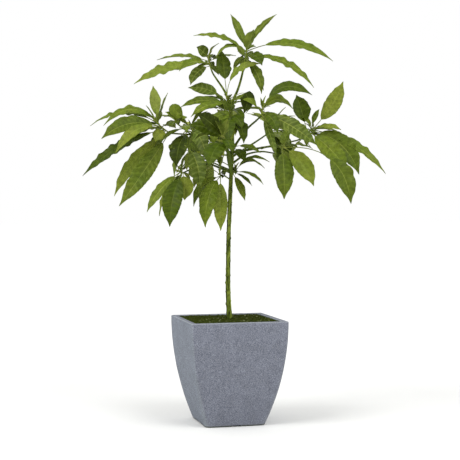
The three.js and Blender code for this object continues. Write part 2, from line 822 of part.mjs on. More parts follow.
function foliage() {
  const names = Object.keys(MASSES);
  const stems = Object.fromEntries(names.map((name) => [name, curveOf(MASSES[name].stem)]));
  for (const [name, limb] of Object.entries(LIMBS)) {
    const curve = curveOf(limb.path);
    occupy(name, curve.getSpacedPoints(Math.ceil(curve.getLength() / LIMB_SAMPLE)), LIMB_CLEAR);
  }
  for (const name of names) occupy(name, stems[name].getSpacedPoints(4), LIMB_CLEAR);
  const blades = Object.fromEntries(names.map((name) => [name, []]));
  for (const name of names) {
    for (const row of MASSES[name].leaves) {
      blades[name].push(settle(name, MASSES[name], leadingLeaf(stems[name], row)));
    }
  }
  for (const blade of Object.values(blades).flat().filter(Boolean)) leading.push(...middleSpots(blade));
  for (const name of names) {
    for (const wanted of seededLeaves(MASSES[name], stems[name])) {
      blades[name].push(settle(name, MASSES[name], wanted, true));
    }
  }
  return names.map((name) => [name, stems[name], blades[name].filter(Boolean)]);
}

// ---------- the whole ----------

const part = new THREE.Group();
const tree = new THREE.Group();
tree.rotation.z = TREE_TURN;
part.add(tree);

part.add(toMesh("planter", planter(), COLOURS.planter, 0.75));
part.add(toMesh("soil", soil(), COLOURS.soil, 0.95));

const soilDepth = SOIL_TOP - FLOOR;
let cutter = box(RIM_HALF, RIM_HALF, soilDepth, 0, 0, SOIL_TOP + GAP - soilDepth / 2);
for (const [name, limb] of Object.entries(LIMBS)) {
  const solid = largest(limbSolid(limb).subtract(cutter));
  cutter = cutter.add(limbSolid(limb, GAP + CUT_OVER));
  tree.add(toMesh(name, solid, COLOURS.bark, 0.7));
}
const [stemFoot, stemTip] = STEM.radius;
for (const [name, stem, blades] of foliage()) {
  const stemRadius = (at) => stemFoot + (stemTip - stemFoot) * at;
  const twig = toSolid(taperedLimb(stem, STEM.steps, STEM.sides, stemRadius));
  const solid = largest(join([twig, ...blades.map(leafSolid)]).subtract(cutter));
  tree.add(toMesh(name, solid, COLOURS.leaf, 0.5));
}

export default part;
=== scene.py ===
"""A young avocado tree in a square tapering planter of grey stone, filled with soil.

The tree has a frame of its own, in millimetres: right, back and up, turned a little against the planter. Its
larger leaves stand by a seeded rule, and finer leaves, young shoots and buds grow between them.
"""
import math
from collections import namedtuple
from itertools import combinations

import bpy
import numpy as np
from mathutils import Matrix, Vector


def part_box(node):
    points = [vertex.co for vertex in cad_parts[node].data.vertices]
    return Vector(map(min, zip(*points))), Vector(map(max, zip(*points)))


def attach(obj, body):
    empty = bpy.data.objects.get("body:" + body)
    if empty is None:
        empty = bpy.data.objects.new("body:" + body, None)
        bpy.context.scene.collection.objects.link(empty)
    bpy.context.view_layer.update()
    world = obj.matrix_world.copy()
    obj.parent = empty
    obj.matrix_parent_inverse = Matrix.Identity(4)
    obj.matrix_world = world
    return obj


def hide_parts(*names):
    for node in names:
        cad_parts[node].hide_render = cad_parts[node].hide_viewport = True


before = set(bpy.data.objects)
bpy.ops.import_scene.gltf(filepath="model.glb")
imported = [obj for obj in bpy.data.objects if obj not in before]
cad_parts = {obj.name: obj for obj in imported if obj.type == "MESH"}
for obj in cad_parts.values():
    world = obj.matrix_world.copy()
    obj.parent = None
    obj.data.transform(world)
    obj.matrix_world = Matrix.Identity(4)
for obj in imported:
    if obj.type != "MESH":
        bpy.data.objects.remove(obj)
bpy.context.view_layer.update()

MM = 0.001
TREE_TURN = math.radians(-14.6)

# ---------- camera ----------

CAMERA_AT = (7.0, -5000.0, 932.0)  # in the tree's frame
CAMERA_DOWN = 1.45  # degrees
CAMERA_SEES = 100  # metres
FOCAL_PIXELS = 1191.7  # for a picture 460 pixels wide
PICTURE = 460
SENSOR = 36.0


def turned(x, y, angle):
    """Places turned about the upright axis, by an angle in radians."""
    turn_cos, turn_sin = math.cos(angle), math.sin(angle)
    return x * turn_cos - y * turn_sin, x * turn_sin + y * turn_cos


def to_world(places):
    """Places in the tree's frame, in millimetres, as world places in metres."""
    places = np.asarray(places, dtype=float)
    across, along = turned(places[..., 0], places[..., 1], TREE_TURN)
    return np.stack([across, along, places[..., 2]], axis=-1) * MM


def make_camera():
    data = bpy.data.cameras.new("camera")
    data.sensor_width = SENSOR
    data.lens = FOCAL_PIXELS / PICTURE * SENSOR
    data.clip_end = CAMERA_SEES
    camera = bpy.data.objects.new("camera", data)
    camera.location = to_world(CAMERA_AT)
    camera.rotation_euler = (math.radians(90 - CAMERA_DOWN), 0, TREE_TURN)
    bpy.context.collection.objects.link(camera)
    bpy.context.scene.camera = camera


make_camera()

# ---------- sizes ----------

# Planter, in millimetres
POT_HEIGHT = 435
RIM_HALF = 204
FOOT_HALF = 127.5
BULGE = 2.1
WALL = 23.5
FLOOR = 32
CORNER = {"rim": 8, "foot": 24}
RIM_ROUND = 4
FOOT_ROUND = 3
NOTCH = {"wide": 36, "deep": 26, "high": 5}
SOIL_TOP = 433.5
SOIL_CLEAR = 0.35

# Leaves and shoots
STALK = 0.13
GOLDEN = 137.5
LEAF_CLEAR = 13
LIMB_CLEAR = 10
FINE_CLEAR = 7
LEAN_STEPS = [0, 20, -20, 40, -40, 60, -60]
TURN_STEPS = [0, 35, -35, 70, -70, 110, -110]
EYE = {"right": 7, "far": 5000, "up": 932}  # where the crown is looked at and through from
OPEN_GAPS = np.array([  # left, right, low and high side of each
    (145, 275, 1435, 1505), (0, 30, 1400, 1460), (-115, -65, 1420, 1455), (-250, -150, 1360, 1460),
    (-180, -150, 1260, 1335), (345, 390, 1260, 1415), (40, 135, 1200, 1270),
    (105, 170, 1170, 1240), (40, 180, 935, 1085), (75, 180, 1125, 1145), (370, 415, 930, 1120),
    (-345, -235, 1030, 1070), (-285, -235, 1030, 1160), (-180, -130, 870, 980),
    (-60, -25, 1385, 1430), (35, 300, 785, 930), (400, 450, 1250, 1280),
    (325, 405, 1085, 1140), (295, 350, 1110, 1150), (263, 288, 1166, 1193),
    (270, 300, 930, 1050), (300, 360, 930, 1000), (-14, 40, 880, 1012), (-52, -7, 1057, 1080),
    (-58, -30, 1012, 1057),
])
VIEW_ROWS = 9
VIEW_OVERLAP = 0.7
HIDDEN_MOST = 2
SAMPLE_ROWS = 13
SAMPLE_START = 0.04
SAMPLE_SIDES = (-1, -0.5, 0, 0.5, 1)
SAMPLE_WIDE = 3
LIMB_SAMPLE = 12
STEM_SAMPLES = 4
FINE_SEED = 50
FINE_LEAVES = 5
FINE_SPAN = 105
REACH_OVER = 0.003  # metres
TUBE_SIDE = (0.3, 0.5, 0.81)  # no tube starts this way
BLADE = {"shoulder": 0.9, "fullness": 0.76, "narrowing": 0.15}
RULE = {  # a pair is a start and what age or chance adds, a plain number the width of a range
    "slope": (55, -105),
    "slope_chance": 24,
    "length": (0.4, 0.6),
    "length_chance": (0.85, 0.25),
    "arch": (0.08, 0.08),
    "width": (0.26, 0.07),
    "roll_chance": 50,
    "foot": (0.95, -0.85),
}

Limb = namedtuple("Limb", "path radius flare", defaults=[0])  # radius at its foot and at its tip
LIMBS = {
    "trunk": Limb(
        [
            (4, 20, 415), (3, 20, 461), (-1, 20, 545), (-1, 20, 650), (1, 20, 776), (5, 18, 880),
            (11, 17, 1028), (17, 15, 1184), (13, 12, 1270), (10, 12, 1324),
        ],
        (10.8, 7.4), 2.5,
    ),
    "leader": Limb(
        [
            (10, 12, 1318), (24, 8, 1358), (40, 0, 1394), (54, -8, 1440), (66, -12, 1495), (71, -15, 1520),
        ],
        (6, 3.6),
    ),
    "left_fork": Limb(
        [
            (10, 12, 1310), (2, 15, 1346), (-18, 20, 1392), (-48, 29, 1438), (-66, 34, 1466),
            (-76, 38, 1494),
        ],
        (5.4, 3.2),
    ),
    "right_upper_bough": Limb(
        [
            (17, 14, 1140), (36, -25, 1171), (62, -70, 1204), (82, -105, 1228), (116, -170, 1255),
            (133, -215, 1270),
        ],
        (5.2, 3.2),
    ),
    "right_lower_bough": Limb(
        [
            (15, 15, 1131), (60, 14, 1138), (115, -10, 1146), (173, -60, 1152), (208, -110, 1149),
        ],
        (5.4, 3),
    ),
    "right_far_bough": Limb(
        [
            (138, -28, 1148), (172, 0, 1156), (206, 28, 1160), (236, 48, 1162), (268, 58, 1178),
            (298, 62, 1187), (330, 60, 1210),
        ],
        (4, 3),
    ),
    "left_bough": Limb(
        [
            (15, 14, 1180), (-24, 4, 1188), (-60, -6, 1192), (-116, -20, 1201), (-182, -30, 1205),
            (-243, -32, 1209),
        ],
        (5.2, 3),
    ),
    "left_inner_bough": Limb([(-138, -24, 1203), (-156, -45, 1206), (-169, -65, 1213)], (3, 2.6)),
    "left_lower_bough": Limb(
        [
            (11, 15, 1046), (-30, -25, 1063), (-75, -80, 1080), (-101, -115, 1092), (-132, -155, 1125),
            (-152, -190, 1134),
        ],
        (5, 3),
    ),
    "low_left_bough": Limb(
        [
            (-82, -88, 1083), (-118, -105, 1076), (-155, -125, 1056), (-185, -140, 1042),
        ],
        (3.4, 2.8),
    ),
    "front_bough": Limb([(14, 15, 1076), (8, -60, 1100), (0, -160, 1128), (-8, -260, 1160)], (5, 3)),
    "front_upper_bough": Limb([(14, 13, 1222), (13, -30, 1240), (8, -105, 1268)], (4.4, 3)),
    "back_left_bough": Limb(
        [
            (15, 15, 1152), (-50, 120, 1182), (-112, 220, 1208), (-150, 290, 1228),
        ],
        (5, 3),
    ),
    "back_right_bough": Limb([(14, 16, 1112), (70, 110, 1150), (136, 210, 1196), (176, 280, 1226)], (5, 3)),
    "back_bough": Limb([(15, 14, 1205), (8, 100, 1236), (-4, 200, 1272), (-10, 270, 1300)], (4.6, 3)),
    "low_back_left_bough": Limb([(12, 17, 1054), (-24, 100, 1072), (-62, 190, 1092)], (4.6, 3)),
    "low_back_right_bough": Limb(
        [
            (15, 16, 1084), (70, 70, 1122), (140, 150, 1140), (200, 220, 1136),
        ],
        (4.6, 3),
    ),
}

Mass = namedtuple("Mass", "on seed stem extra span bearing spread tones leaves", defaults=["", ()])
# each leaf: where on its stem, reach right, back and up, arch, width, and for some roll and stalk
MASSES = {
    "crown_top": Mass(
        "leader", 1, [(71, -15, 1520), (74, -17, 1542), (76, -18, 1562)],
        6, 170, 90, 60, "llmmmmgmdo", [
            [0.9, -67, 22, 151, 6, 40, 70], [1, 125, -32, 138, 12, 28, -50],
            [0.6, 32, -34, 92, 2, 60, 0], [0.7, 357, -60, -47, 54, 54, 45, 0.2],
            [0.7, -222, 40, 72, 28, 34, -38], [0.7, -128, 12, -26, 38, 34, -34],
            [0.1, -39, -12, 54, 3, 26, 60], [0.25, 280, -75, -139, 48, 44, 40],
            [0.4, 65, -95, -56, 20, 60, 20], [0, 66, -60, -153, 22, 46, 30],
        ],
    ),
    "crown_left": Mass(
        "left_fork", 22, [(-76, 38, 1494), (-81, 40, 1513), (-87, 42, 1532)],
        6, 170, 90, 70, "lmmgmgm", [
            [0.35, -317, -34, -91, 30, 56, -50], [0.55, -224, 60, 14, 18, 44, -25],
            [0.15, -127, -92, -36, 28, 46, -38], [0.85, -48, -30, 46, 6, 56, -80],
            [0.1, -58, 65, -14, 14, 40, -40], [0.05, -82, -40, -84, 18, 54, -40],
            [0.7, 18, 30, 30, 3, 24],
        ],
    ),
    "fork_spray": Mass(
        "trunk", 3, [(10, 8, 1296), (4, -12, 1322), (-6, -26, 1352)],
        2, 120, 270, 60, "dlomdgmdmdk", [
            [0.95, -26, 26, 222, 4, 68, 0, 0.4], [1, 146, -25, 145, 55, 48, 52, 0.28],
            [0.5, -203, -40, -8, 27, 44, -50], [0.6, -157, -65, -56, 26, 40, -50],
            [0.7, -126, 35, 22, 16, 28, -20], [0.7, -170, 35, 68, 22, 62, -55, 0.32],
            [0.6, 118, -50, -18, 40, 44, 40], [0.3, 56, -75, -60, 18, 44, 0],
            [0.35, -54, -105, -129, 25, 62, -10], [0.3, -19, -110, -80, 20, 34],
            [0.9, 68, -20, -58, 70, 62, 55, 0.42],
        ],
    ),
    "upper_front": Mass(
        "front_upper_bough", 4, [(8, -105, 1268), (7, -118, 1278), (6, -132, 1290)],
        3, 130, 270, 60, "mdddomlm", [
            [0.1, -70, -60, -120, 24, 58, -20], [0.3, 55, -55, -115, 24, 54, 20],
            [0.2, -10, -80, -140, 26, 58], [0.5, 50, -60, -60, 16, 46, 30],
            [0.6, -75, -50, -40, 16, 48, -30], [0.9, 10, -70, 30, 6, 34], [1, -25, -30, 55, 3, 26],
            [0.95, 30, -20, 50, 3, 22],
        ],
    ),
    "right_upper": Mass(
        "right_upper_bough", 5, [(133, -215, 1270), (134, -222, 1282), (137, -230, 1296)],
        4, 120, 70, 70, "mdggdmld", [
            [0.6, 128, 64, 14, 42, 50, 45], [0.8, 199, -20, 57, 63, 56, 50, 0.18],
            [0.5, 214, -120, -139, 12, 66, 60], [0.2, 57, -65, -171, 8, 34, 30],
            [0.3, 62, -85, -88, 24, 46, 40], [1, -8, 10, 46, 2, 14], [1, 12, -5, 52, 2, 14],
            [0.7, -66, 20, -10, 20, 16],
        ],
    ),
    "right_middle": Mass(
        "right_lower_bough", 6, [(208, -110, 1149), (218, -118, 1148), (228, -126, 1145)],
        2, 120, 80, 90, "olmo", [
            [0.6, 5, -75, -214, 14, 80, 0], [0.9, 119, -70, -159, 22, 76, 55],
            [0.5, 36, 20, 74, 4, 50, 20], [1, 264, -100, -230, 86, 90, 48, 0.5],
        ],
    ),
    "right_far": Mass(
        "right_far_bough", 7, [(330, 60, 1210), (345, 58, 1222), (360, 55, 1233)],
        6, 190, 80, 70, "ldmmoml", [
            [0.9, 130, 10, 204, -12, 70, 82, 0.22], [0.2, -46, 32, 165, 2, 76, -45, 0.28],
            [0.6, 36, -18, 91, 4, 46, 50, 0.3], [0.8, 307, -50, -188, 36, 54, 42],
            [0.6, 199, -70, -187, 44, 94, 58], [0.4, 154, -110, -164, 12, 84, 50],
            [1, 114, -50, -8, 12, 34, 40],
        ],
    ),
    "left_far": Mass(
        "left_bough", 8, [(-243, -32, 1209), (-272, -39, 1230), (-303, -48, 1258)],
        6, 190, 100, 70, "oldolmmymldl", [
            [0.05, -197, -140, -306, -6, 84, -45], [0.1, -225, -15, -268, 30, 60, -65],
            [0.35, -333, -72, -196, 32, 54, -45], [0.55, -238, -119, -56, 38, 74, -55],
            [0.6, -175, -150, -119, 42, 44, -50], [0.7, -227, -57, -7, 68, 46, -45],
            [0.8, -284, 15, -8, 52, 36, -35], [0.9, -13, -30, 150, 4, 52, 0, 0.2],
            [0.8, 39, 18, 131, 4, 28], [0.95, -39, -25, 67, 3, 24, -40],
            [0.7, -82, 25, -13, 14, 34, -30], [0.2, -46, -40, -46, 12, 58, -40],
        ],
    ),
    "left_inner": Mass(
        "left_inner_bough", 9, [(-169, -65, 1213), (-192, -70, 1231), (-217, -75, 1250)],
        4, 120, 90, 70, "mmkgdmm", [
            [0.9, 34, 15, 38, 36, 90, 45], [0.8, -52, -20, 50, 10, 44, -45],
            [0, -42, -80, -150, 26, 80, 0], [0.05, 88, -120, -134, 40, 62, 50],
            [0.6, -40, -90, -10, 20, 44], [0.4, 20, -80, -20, 16, 40], [0.7, -60, 30, 5, 14, 40],
        ],
    ),
    "left_lower": Mass(
        "left_lower_bough", 10, [(-152, -190, 1134), (-161, -197, 1140), (-170, -204, 1147)],
        3, 130, 100, 80, "g", [
            [0.3, 44, -65, -158, 24, 70, 35],
        ],
    ),
    "low_left": Mass(
        "low_left_bough", 11, [(-185, -140, 1042), (-193, -145, 1045), (-203, -150, 1048)],
        4, 150, 90, 70, "mdlml", [
            [0.5, -135, -45, -164, 18, 48, -50], [0.3, -44, -90, -221, 20, 84, -15],
            [0, 8, -26, -112, 12, 74, 10], [1, -41, -10, 43, 4, 26, -50],
            [0.6, -88, 30, -181, 14, 44, -40],
        ],
    ),
    "low_middle": Mass(
        "trunk", 12, [(10, 16, 1016), (-14, -30, 1030), (-38, -70, 1037)],
        2, 110, 250, 60, "mlmmml", [
            [0.8, -66, -90, -217, 40, 72, -25], [0.9, 2, -65, -233, 18, 60, 5, 0.16],
            [0.7, -122, 5, -130, 30, 48, -50], [1, -49, -30, -12, 24, 14],
            [0.9, -6, 10, 95, 3, 28, 0, 0.4], [1, 22, -5, 88, 3, 28, 0, 0.4],
        ],
    ),
    "low_right": Mass(
        "trunk", 13, [(11, 17, 1030), (22, 0, 1045), (32, -18, 1052)],
        3, 140, 70, 50, "mmmdm", [
            [0.9, 143, -30, 38, 38, 30, 30], [0.8, 126, 12, 14, 40, 26, 30],
            [0.7, 120, -60, -53, 20, 24, 25], [0.6, 75, -70, -57, 10, 18, 25],
            [0.4, 50, -55, -114, 8, 34, 30],
        ],
    ),
    "right_small": Mass(
        "trunk", 14, [(17, 15, 1130), (28, -8, 1150), (34, -22, 1161)],
        0, 100, 300, 40, "mmd", [
            [0.8, 103, -45, -29, 14, 34, 35], [1, 82, -60, 34, 16, 24, 35],
            [0.5, 41, -80, -56, 14, 46, 20],
        ],
    ),
    "front": Mass(
        "front_bough", 15, [(-8, -260, 1160), (-14, -274, 1169), (-22, -290, 1180)],
        7, 210, 270, 45, "dkdddddl", [
            [0.2, -64, -124, -105, 26, 86, -10], [0.6, -106, -92, 94, 14, 70, -85],
            [0.4, -143, -28, 60, 16, 56, -75], [0.5, -84, 130, 7, 20, 50], [0.1, 22, -50, -140, 6, 22],
            [0.8, 35, -80, -60, 14, 50], [0.9, -30, -50, 64, 4, 38], [1, 20, -40, 70, 4, 34],
        ],
    ),
    "back_left": Mass(
        "back_left_bough", 16, [(-150, 290, 1228), (-160, 306, 1240), (-172, 322, 1256)],
        16, 270, 105, 120,
    ),
    "back_right": Mass(
        "back_right_bough", 17, [(176, 280, 1226), (188, 296, 1238), (202, 312, 1254)],
        16, 270, 75, 120,
    ),
    "back": Mass(
        "back_bough", 18, [(-10, 270, 1300), (-12, 286, 1312), (-16, 302, 1328)],
        16, 250, 90, 150,
    ),
    "low_back_left": Mass(
        "low_back_left_bough", 19, [(-62, 190, 1092), (-67, 204, 1098), (-74, 220, 1106)],
        12, 220, 110, 110,
    ),
    "low_back_right": Mass(
        "low_back_right_bough", 20, [(200, 220, 1136), (212, 234, 1140), (224, 248, 1147)],
        12, 230, 70, 110,
    ),
}

# ---------- curves and chance ----------

SEED_STEP, SEED_START = 7919, 13
RANDOM_STEP, RANDOM_RANGE = 16807, 2147483647


class Curve:
    """A centripetal Catmull-Rom curve through a few places, walked by its length."""

    DIVISIONS = 200

    def __init__(self, path):
        self.path = np.array(path, dtype=float)
        self.marks = self.points(np.linspace(0, 1, self.DIVISIONS + 1))
        steps = np.linalg.norm(np.diff(self.marks, axis=0), axis=1)
        self.reached = np.concatenate([[0], np.cumsum(steps)])
        self.length = self.reached[-1]

    def points(self, shares):
        path = self.path
        last = len(path) - 1
        found = []
        for share in np.atleast_1d(shares):
            step = last * share
            index = min(int(step), last - 1)
            weight = step - index
            before = path[index - 1] if index > 0 else 2 * path[0] - path[1]
            after = path[index + 2] if index + 2 <= last else 2 * path[last] - path[last - 1]
            found.append(self.span(before, path[index], path[index + 1], after, weight))
        return np.array(found)

    @staticmethod
    def span(p0, p1, p2, p3, weight):
        d0, d1, d2 = (np.sum((b - a) ** 2) ** 0.25 for a, b in ((p0, p1), (p1, p2), (p2, p3)))
        t1 = ((p1 - p0) / d0 - (p2 - p0) / (d0 + d1) + (p2 - p1) / d1) * d1
        t2 = ((p2 - p1) / d1 - (p3 - p1) / (d1 + d2) + (p3 - p2) / d2) * d1
        cubic = 2 * p1 - 2 * p2 + t1 + t2
        square = -3 * p1 + 3 * p2 - 2 * t1 - t2
        return p1 + weight * (t1 + weight * (square + weight * cubic))

    def spots(self, shares):
        """Places at shares of the curve's length."""
        targets = np.clip(np.atleast_1d(shares), 0, 1) * self.length
        index = np.clip(np.searchsorted(self.reached, targets, side="right") - 1, 0, self.DIVISIONS - 1)
        gone = (targets - self.reached[index]) / (self.reached[index + 1] - self.reached[index])
        return self.points((index + gone) / self.DIVISIONS)

    def spot(self, share):
        return self.spots([share])[0]

    def spaced(self, count):
        return self.spots(np.linspace(0, 1, count + 1))


def unit(vectors):
    vectors = np.asarray(vectors, dtype=float)
    return vectors / np.linalg.norm(vectors, axis=-1, keepdims=True)


def seeded(seed):
    """Repeatable random numbers between 0 and 1 from a seed."""
    state = (seed * SEED_STEP + SEED_START) % RANDOM_RANGE
    while True:
        state = state * RANDOM_STEP % RANDOM_RANGE
        yield state / RANDOM_RANGE


def added(pair, by):
    """A start, plus what age or chance adds to it."""
    return pair[0] + pair[1] * by


def smooth(low, high, value):
    share = np.clip((value - low) / (high - low), 0, 1)
    return share * share * (3 - 2 * share)


# ---------- the rule that leaves stand by ----------


def outline(at):
    """How wide a blade is at a share of its length, as a share of its greatest width."""
    at = np.clip(at, 0, 1)
    full = np.sin(np.pi * at ** BLADE["shoulder"]).clip(0) ** BLADE["fullness"]
    return full * (1 - BLADE["narrowing"] * at**3)


class Leaf:
    """A leaf on its arched middle line, from foot to tip."""

    def __init__(self, foot, reach, arch, width, roll=0, stalk=STALK):
        self.foot = np.asarray(foot, dtype=float)
        self.reach = np.asarray(reach, dtype=float)
        self.length = float(np.linalg.norm(self.reach))
        self.width = width
        self.stalk = stalk
        along = self.reach / self.length
        upper = unit(np.array([0, 0, 1.0]) - along * along[2])
        self.peak = self.foot + self.reach / 2 + upper * 2 * arch
        angle = math.radians(roll)
        self.face = upper * math.cos(angle) + np.cross(along, upper) * math.sin(angle)

    def frames(self, at):
        """Middle, tangent, across and up at shares of the whole leaf's length."""
        at = np.asarray(at, dtype=float)[..., None]
        tip = self.foot + self.reach
        middle = (1 - at) ** 2 * self.foot + 2 * at * (1 - at) * self.peak + at**2 * tip
        tangent = unit(2 * (1 - at) * (self.peak - self.foot) + 2 * at * (tip - self.peak))
        up = unit(self.face - tangent * np.sum(self.face * tangent, axis=-1, keepdims=True))
        return middle, tangent, np.cross(tangent, up), up

    def samples(self):
        """Points by which a leaf's distance from its neighbours is judged."""
        at = SAMPLE_START + (1 - SAMPLE_START) * np.arange(1, SAMPLE_ROWS + 1) / SAMPLE_ROWS
        middle, _, across, _ = self.frames(at)
        share = (at - self.stalk) / (1 - self.stalk)
        half = np.where(share > 0, outline(np.clip(share, 0, 1)) * self.width / 2, 0)
        points = []
        for row, wide in enumerate(half):
            sides = SAMPLE_SIDES if wide > SAMPLE_WIDE else (0,)
            points += [middle[row] + across[row] * side * wide for side in sides]
        return np.array(points)


taken = []


def ball(points):
    """The middle and radius of a ball round points."""
    centre = (points.min(axis=0) + points.max(axis=0)) / 2
    return centre, np.linalg.norm(points - centre, axis=1).max()


def occupy(owner, points, clear):
    taken.append((owner, points, clear, *ball(points)))


def is_clear(owner, points, least):
    """Whether a mass's points are clear of other masses and of all limbs but the one that carries it."""
    centre, radius = ball(points)
    for other, others, clear, middle, reach in taken:
        if other in (owner, MASSES[owner].on):
            continue
        gap = clear if least is None else least
        if np.linalg.norm(centre - middle) > radius + reach + gap:
            continue
        apart = points[:, None, :] - others[None, :, :]
        if np.min(np.sum(apart * apart, axis=2)) < gap * gap:
            return False
    return True


def seen(points):
    """Where points seem to be, across and up, to an eye in front of the tree."""
    share = EYE["far"] / (EYE["far"] + points[:, 1])
    return [EYE[way] + (points[:, axis] - EYE[way]) * share for way, axis in (("right", 0), ("up", 2))]


def keeps_open(samples):
    """Whether a leaf leaves the crown's gaps open to the eye."""
    across, up = (values[:, None] for values in seen(samples))
    left, right, low, high = OPEN_GAPS.T
    return not np.any((across > left) & (across < right) & (up > low) & (up < high))


def middle_spots(blade):
    """Rows of across, up, back and half width along a leaf's middle, as the eye sees it."""
    at = np.arange(1, VIEW_ROWS + 1) / VIEW_ROWS
    middle = blade.frames(at)[0]
    share = (at - blade.stalk) / (1 - blade.stalk)
    half = np.where((share > 0) & (share < 1), outline(share) * blade.width / 2, 0)
    return np.stack([*seen(middle), middle[:, 1], half], axis=-1)


leading = []


def keeps_view(blade):
    """Whether a leaf leaves the leading leaves behind it in the eye's view, but for a spot or two."""
    across, up, back, half = (values[:, None] for values in middle_spots(blade).T)
    others = np.concatenate(leading).T
    near = VIEW_OVERLAP * (half + others[3])
    hides = (back < others[2]) & ((across - others[0]) ** 2 + (up - others[1]) ** 2 < near**2)
    return np.count_nonzero(hides.any(axis=1)) <= HIDDEN_MOST


def settle(name, wanted, is_ruled=False, least=None):
    """Stands a leaf in the crown, leaning it back or forward until it is clear of other masses and limbs.

    A leaf of the seeded rule may also turn about its stem, and leaves the crown's gaps and its leading leaves
    in view.
    """
    foot, (right, back, up), *form = wanted
    length = np.linalg.norm((right, back, up))
    for turn in TURN_STEPS if is_ruled else [0]:
        across, along = turned(right, back, math.radians(turn))
        for lean in LEAN_STEPS:
            blade = Leaf(foot, unit((across, along + lean, up)) * length, *form)
            samples = blade.samples()
            if is_ruled and not (keeps_open(samples) and keeps_view(blade)):
                continue
            if is_clear(name, samples, least):
                occupy(name, samples, LEAF_CLEAR)
                return blade
    return None


def leading_leaf(stem, at, right, back, up, arch, width, roll=0, stalk=STALK):
    """A leaf as it is wanted, from its row in the table."""
    return stem.spot(at), (right, back, up), arch, width, roll, stalk


def reach_of(length, slope, bearing):
    """How far a leaf reaches right, back and up, by its slope and bearing in degrees."""
    slope, bearing = math.radians(slope), math.radians(bearing)
    level = length * math.cos(slope)
    return level * math.cos(bearing), level * math.sin(bearing), length * math.sin(slope)


def ruled_leaves(mass, stem, seed, extra, span):
    """The seeded rule: the lowest leaves long and drooping, the youngest short and upright at the tip."""
    random = seeded(seed)
    made = []
    for i in range(extra):
        age = 1 - i / extra
        swing = (i * GOLDEN / 360 + next(random)) % 1
        bearing = mass.bearing + mass.spread * (2 * swing - 1)
        slope = added(RULE["slope"], age) + RULE["slope_chance"] * (next(random) - 0.5)
        length = span * added(RULE["length"], age) * added(RULE["length_chance"], next(random))
        arch = length * added(RULE["arch"], next(random))
        width = length * added(RULE["width"], next(random))
        roll = RULE["roll_chance"] * (next(random) - 0.5)
        foot = stem.spot(added(RULE["foot"], age))
        made.append((foot, reach_of(length, slope, bearing), arch, width, roll, STALK))
    return made


def within_reach(name, leaf):
    """Whether a leaf keeps to the box that its mass fills, but for a little."""
    low, high = (np.array(corner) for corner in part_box(name))
    reached = to_world(leaf.samples())
    return np.all(reached > low - REACH_OVER) and np.all(reached < high + REACH_OVER)


def grow_crown():
    """The stem of each mass, and its leaves with their tones: leading, then ruled, then finer ones."""
    stems = {name: Curve(mass.stem) for name, mass in MASSES.items()}
    for name, limb in LIMBS.items():
        curve = Curve(limb.path)
        occupy(name, curve.spaced(math.ceil(curve.length / LIMB_SAMPLE)), LIMB_CLEAR)
    for name, stem in stems.items():
        occupy(name, stem.spaced(STEM_SAMPLES), LIMB_CLEAR)
    crown = {name: [] for name in MASSES}
    for name, mass in MASSES.items():
        for tone, row in zip(mass.tones, mass.leaves):
            blade = settle(name, leading_leaf(stems[name], *row))
            if blade:
                crown[name].append((blade, tone))
    leading.extend(middle_spots(blade) for blades in crown.values() for blade, _ in blades)
    for name, mass in MASSES.items():
        for wanted in ruled_leaves(mass, stems[name], mass.seed, mass.extra, mass.span):
            blade = settle(name, wanted, True)
            if blade:
                crown[name].append((blade, None))
    for name, mass in MASSES.items():
        for wanted in ruled_leaves(mass, stems[name], mass.seed + FINE_SEED, FINE_LEAVES, FINE_SPAN):
            blade = settle(name, wanted, True, FINE_CLEAR)
            if blade and within_reach(name, blade):
                crown[name].append((blade, None))
    return stems, crown


# ---------- meshes ----------


class Pile:
    """Vertices, faces and material numbers gathered into one mesh."""

    def __init__(self):
        self.places, self.faces, self.slots, self.spread = [], [], [], []
        self.count = 0

    def add(self, places, faces, slot, spread=None):
        """Adds a shape: faces are arrays of 3 or 4 corners a row, slot one number or a list for the arrays.

        Spread places it in the plane that its material's pattern is drawn on.
        """
        self.places.append(np.asarray(places, dtype=float))
        self.spread.append(np.zeros((len(places), 2)) if spread is None else spread)
        for block, slots in zip(faces, slot if isinstance(slot, list) else [slot] * len(faces)):
            self.faces.append(np.asarray(block) + self.count)
            self.slots.append(np.broadcast_to(slots, len(block)))
        self.count += len(places)

    def build(self, name, materials, sharp=None):
        mesh = bpy.data.meshes.new(name)
        places = np.concatenate(self.places)
        corners = np.concatenate([block.ravel() for block in self.faces])
        sizes = np.concatenate([np.full(len(block), block.shape[1]) for block in self.faces])
        mesh.vertices.add(len(places))
        mesh.vertices.foreach_set("co", places.astype(np.float32).ravel())
        mesh.loops.add(len(corners))
        mesh.loops.foreach_set("vertex_index", corners.astype(np.int32))
        mesh.polygons.add(len(sizes))
        mesh.polygons.foreach_set("loop_start", (np.cumsum(sizes) - sizes).astype(np.int32))
        for material in materials:
            mesh.materials.append(material)
        mesh.polygons.foreach_set("material_index", np.concatenate(self.slots).astype(np.int32))
        mesh.polygons.foreach_set("use_smooth", np.ones(len(sizes), dtype=bool))
        spread = np.concatenate(self.spread)[corners]
        mesh.uv_layers.new(name="spread").data.foreach_set("uv", spread.astype(np.float32).ravel())
        mesh.update(calc_edges=True)
        mesh.validate()
        if sharp:
            mesh.set_sharp_from_angle(angle=math.radians(sharp))
        piece = bpy.data.objects.new(name, mesh)
        bpy.context.collection.objects.link(piece)
        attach(piece, "root")
        return piece


def grid_faces(rows, columns, around=False):
    """Quads of a grid of rows by columns, its columns closed into a ring if around."""
    row = np.arange(rows - 1)[:, None] * columns
    column = np.arange(columns if around else columns - 1)[None, :]
    beside = (column + 1) % columns
    quads = np.stack([row + column, row + beside, row + columns + beside, row + columns + column], axis=-1)
    return quads.reshape(-1, 4)


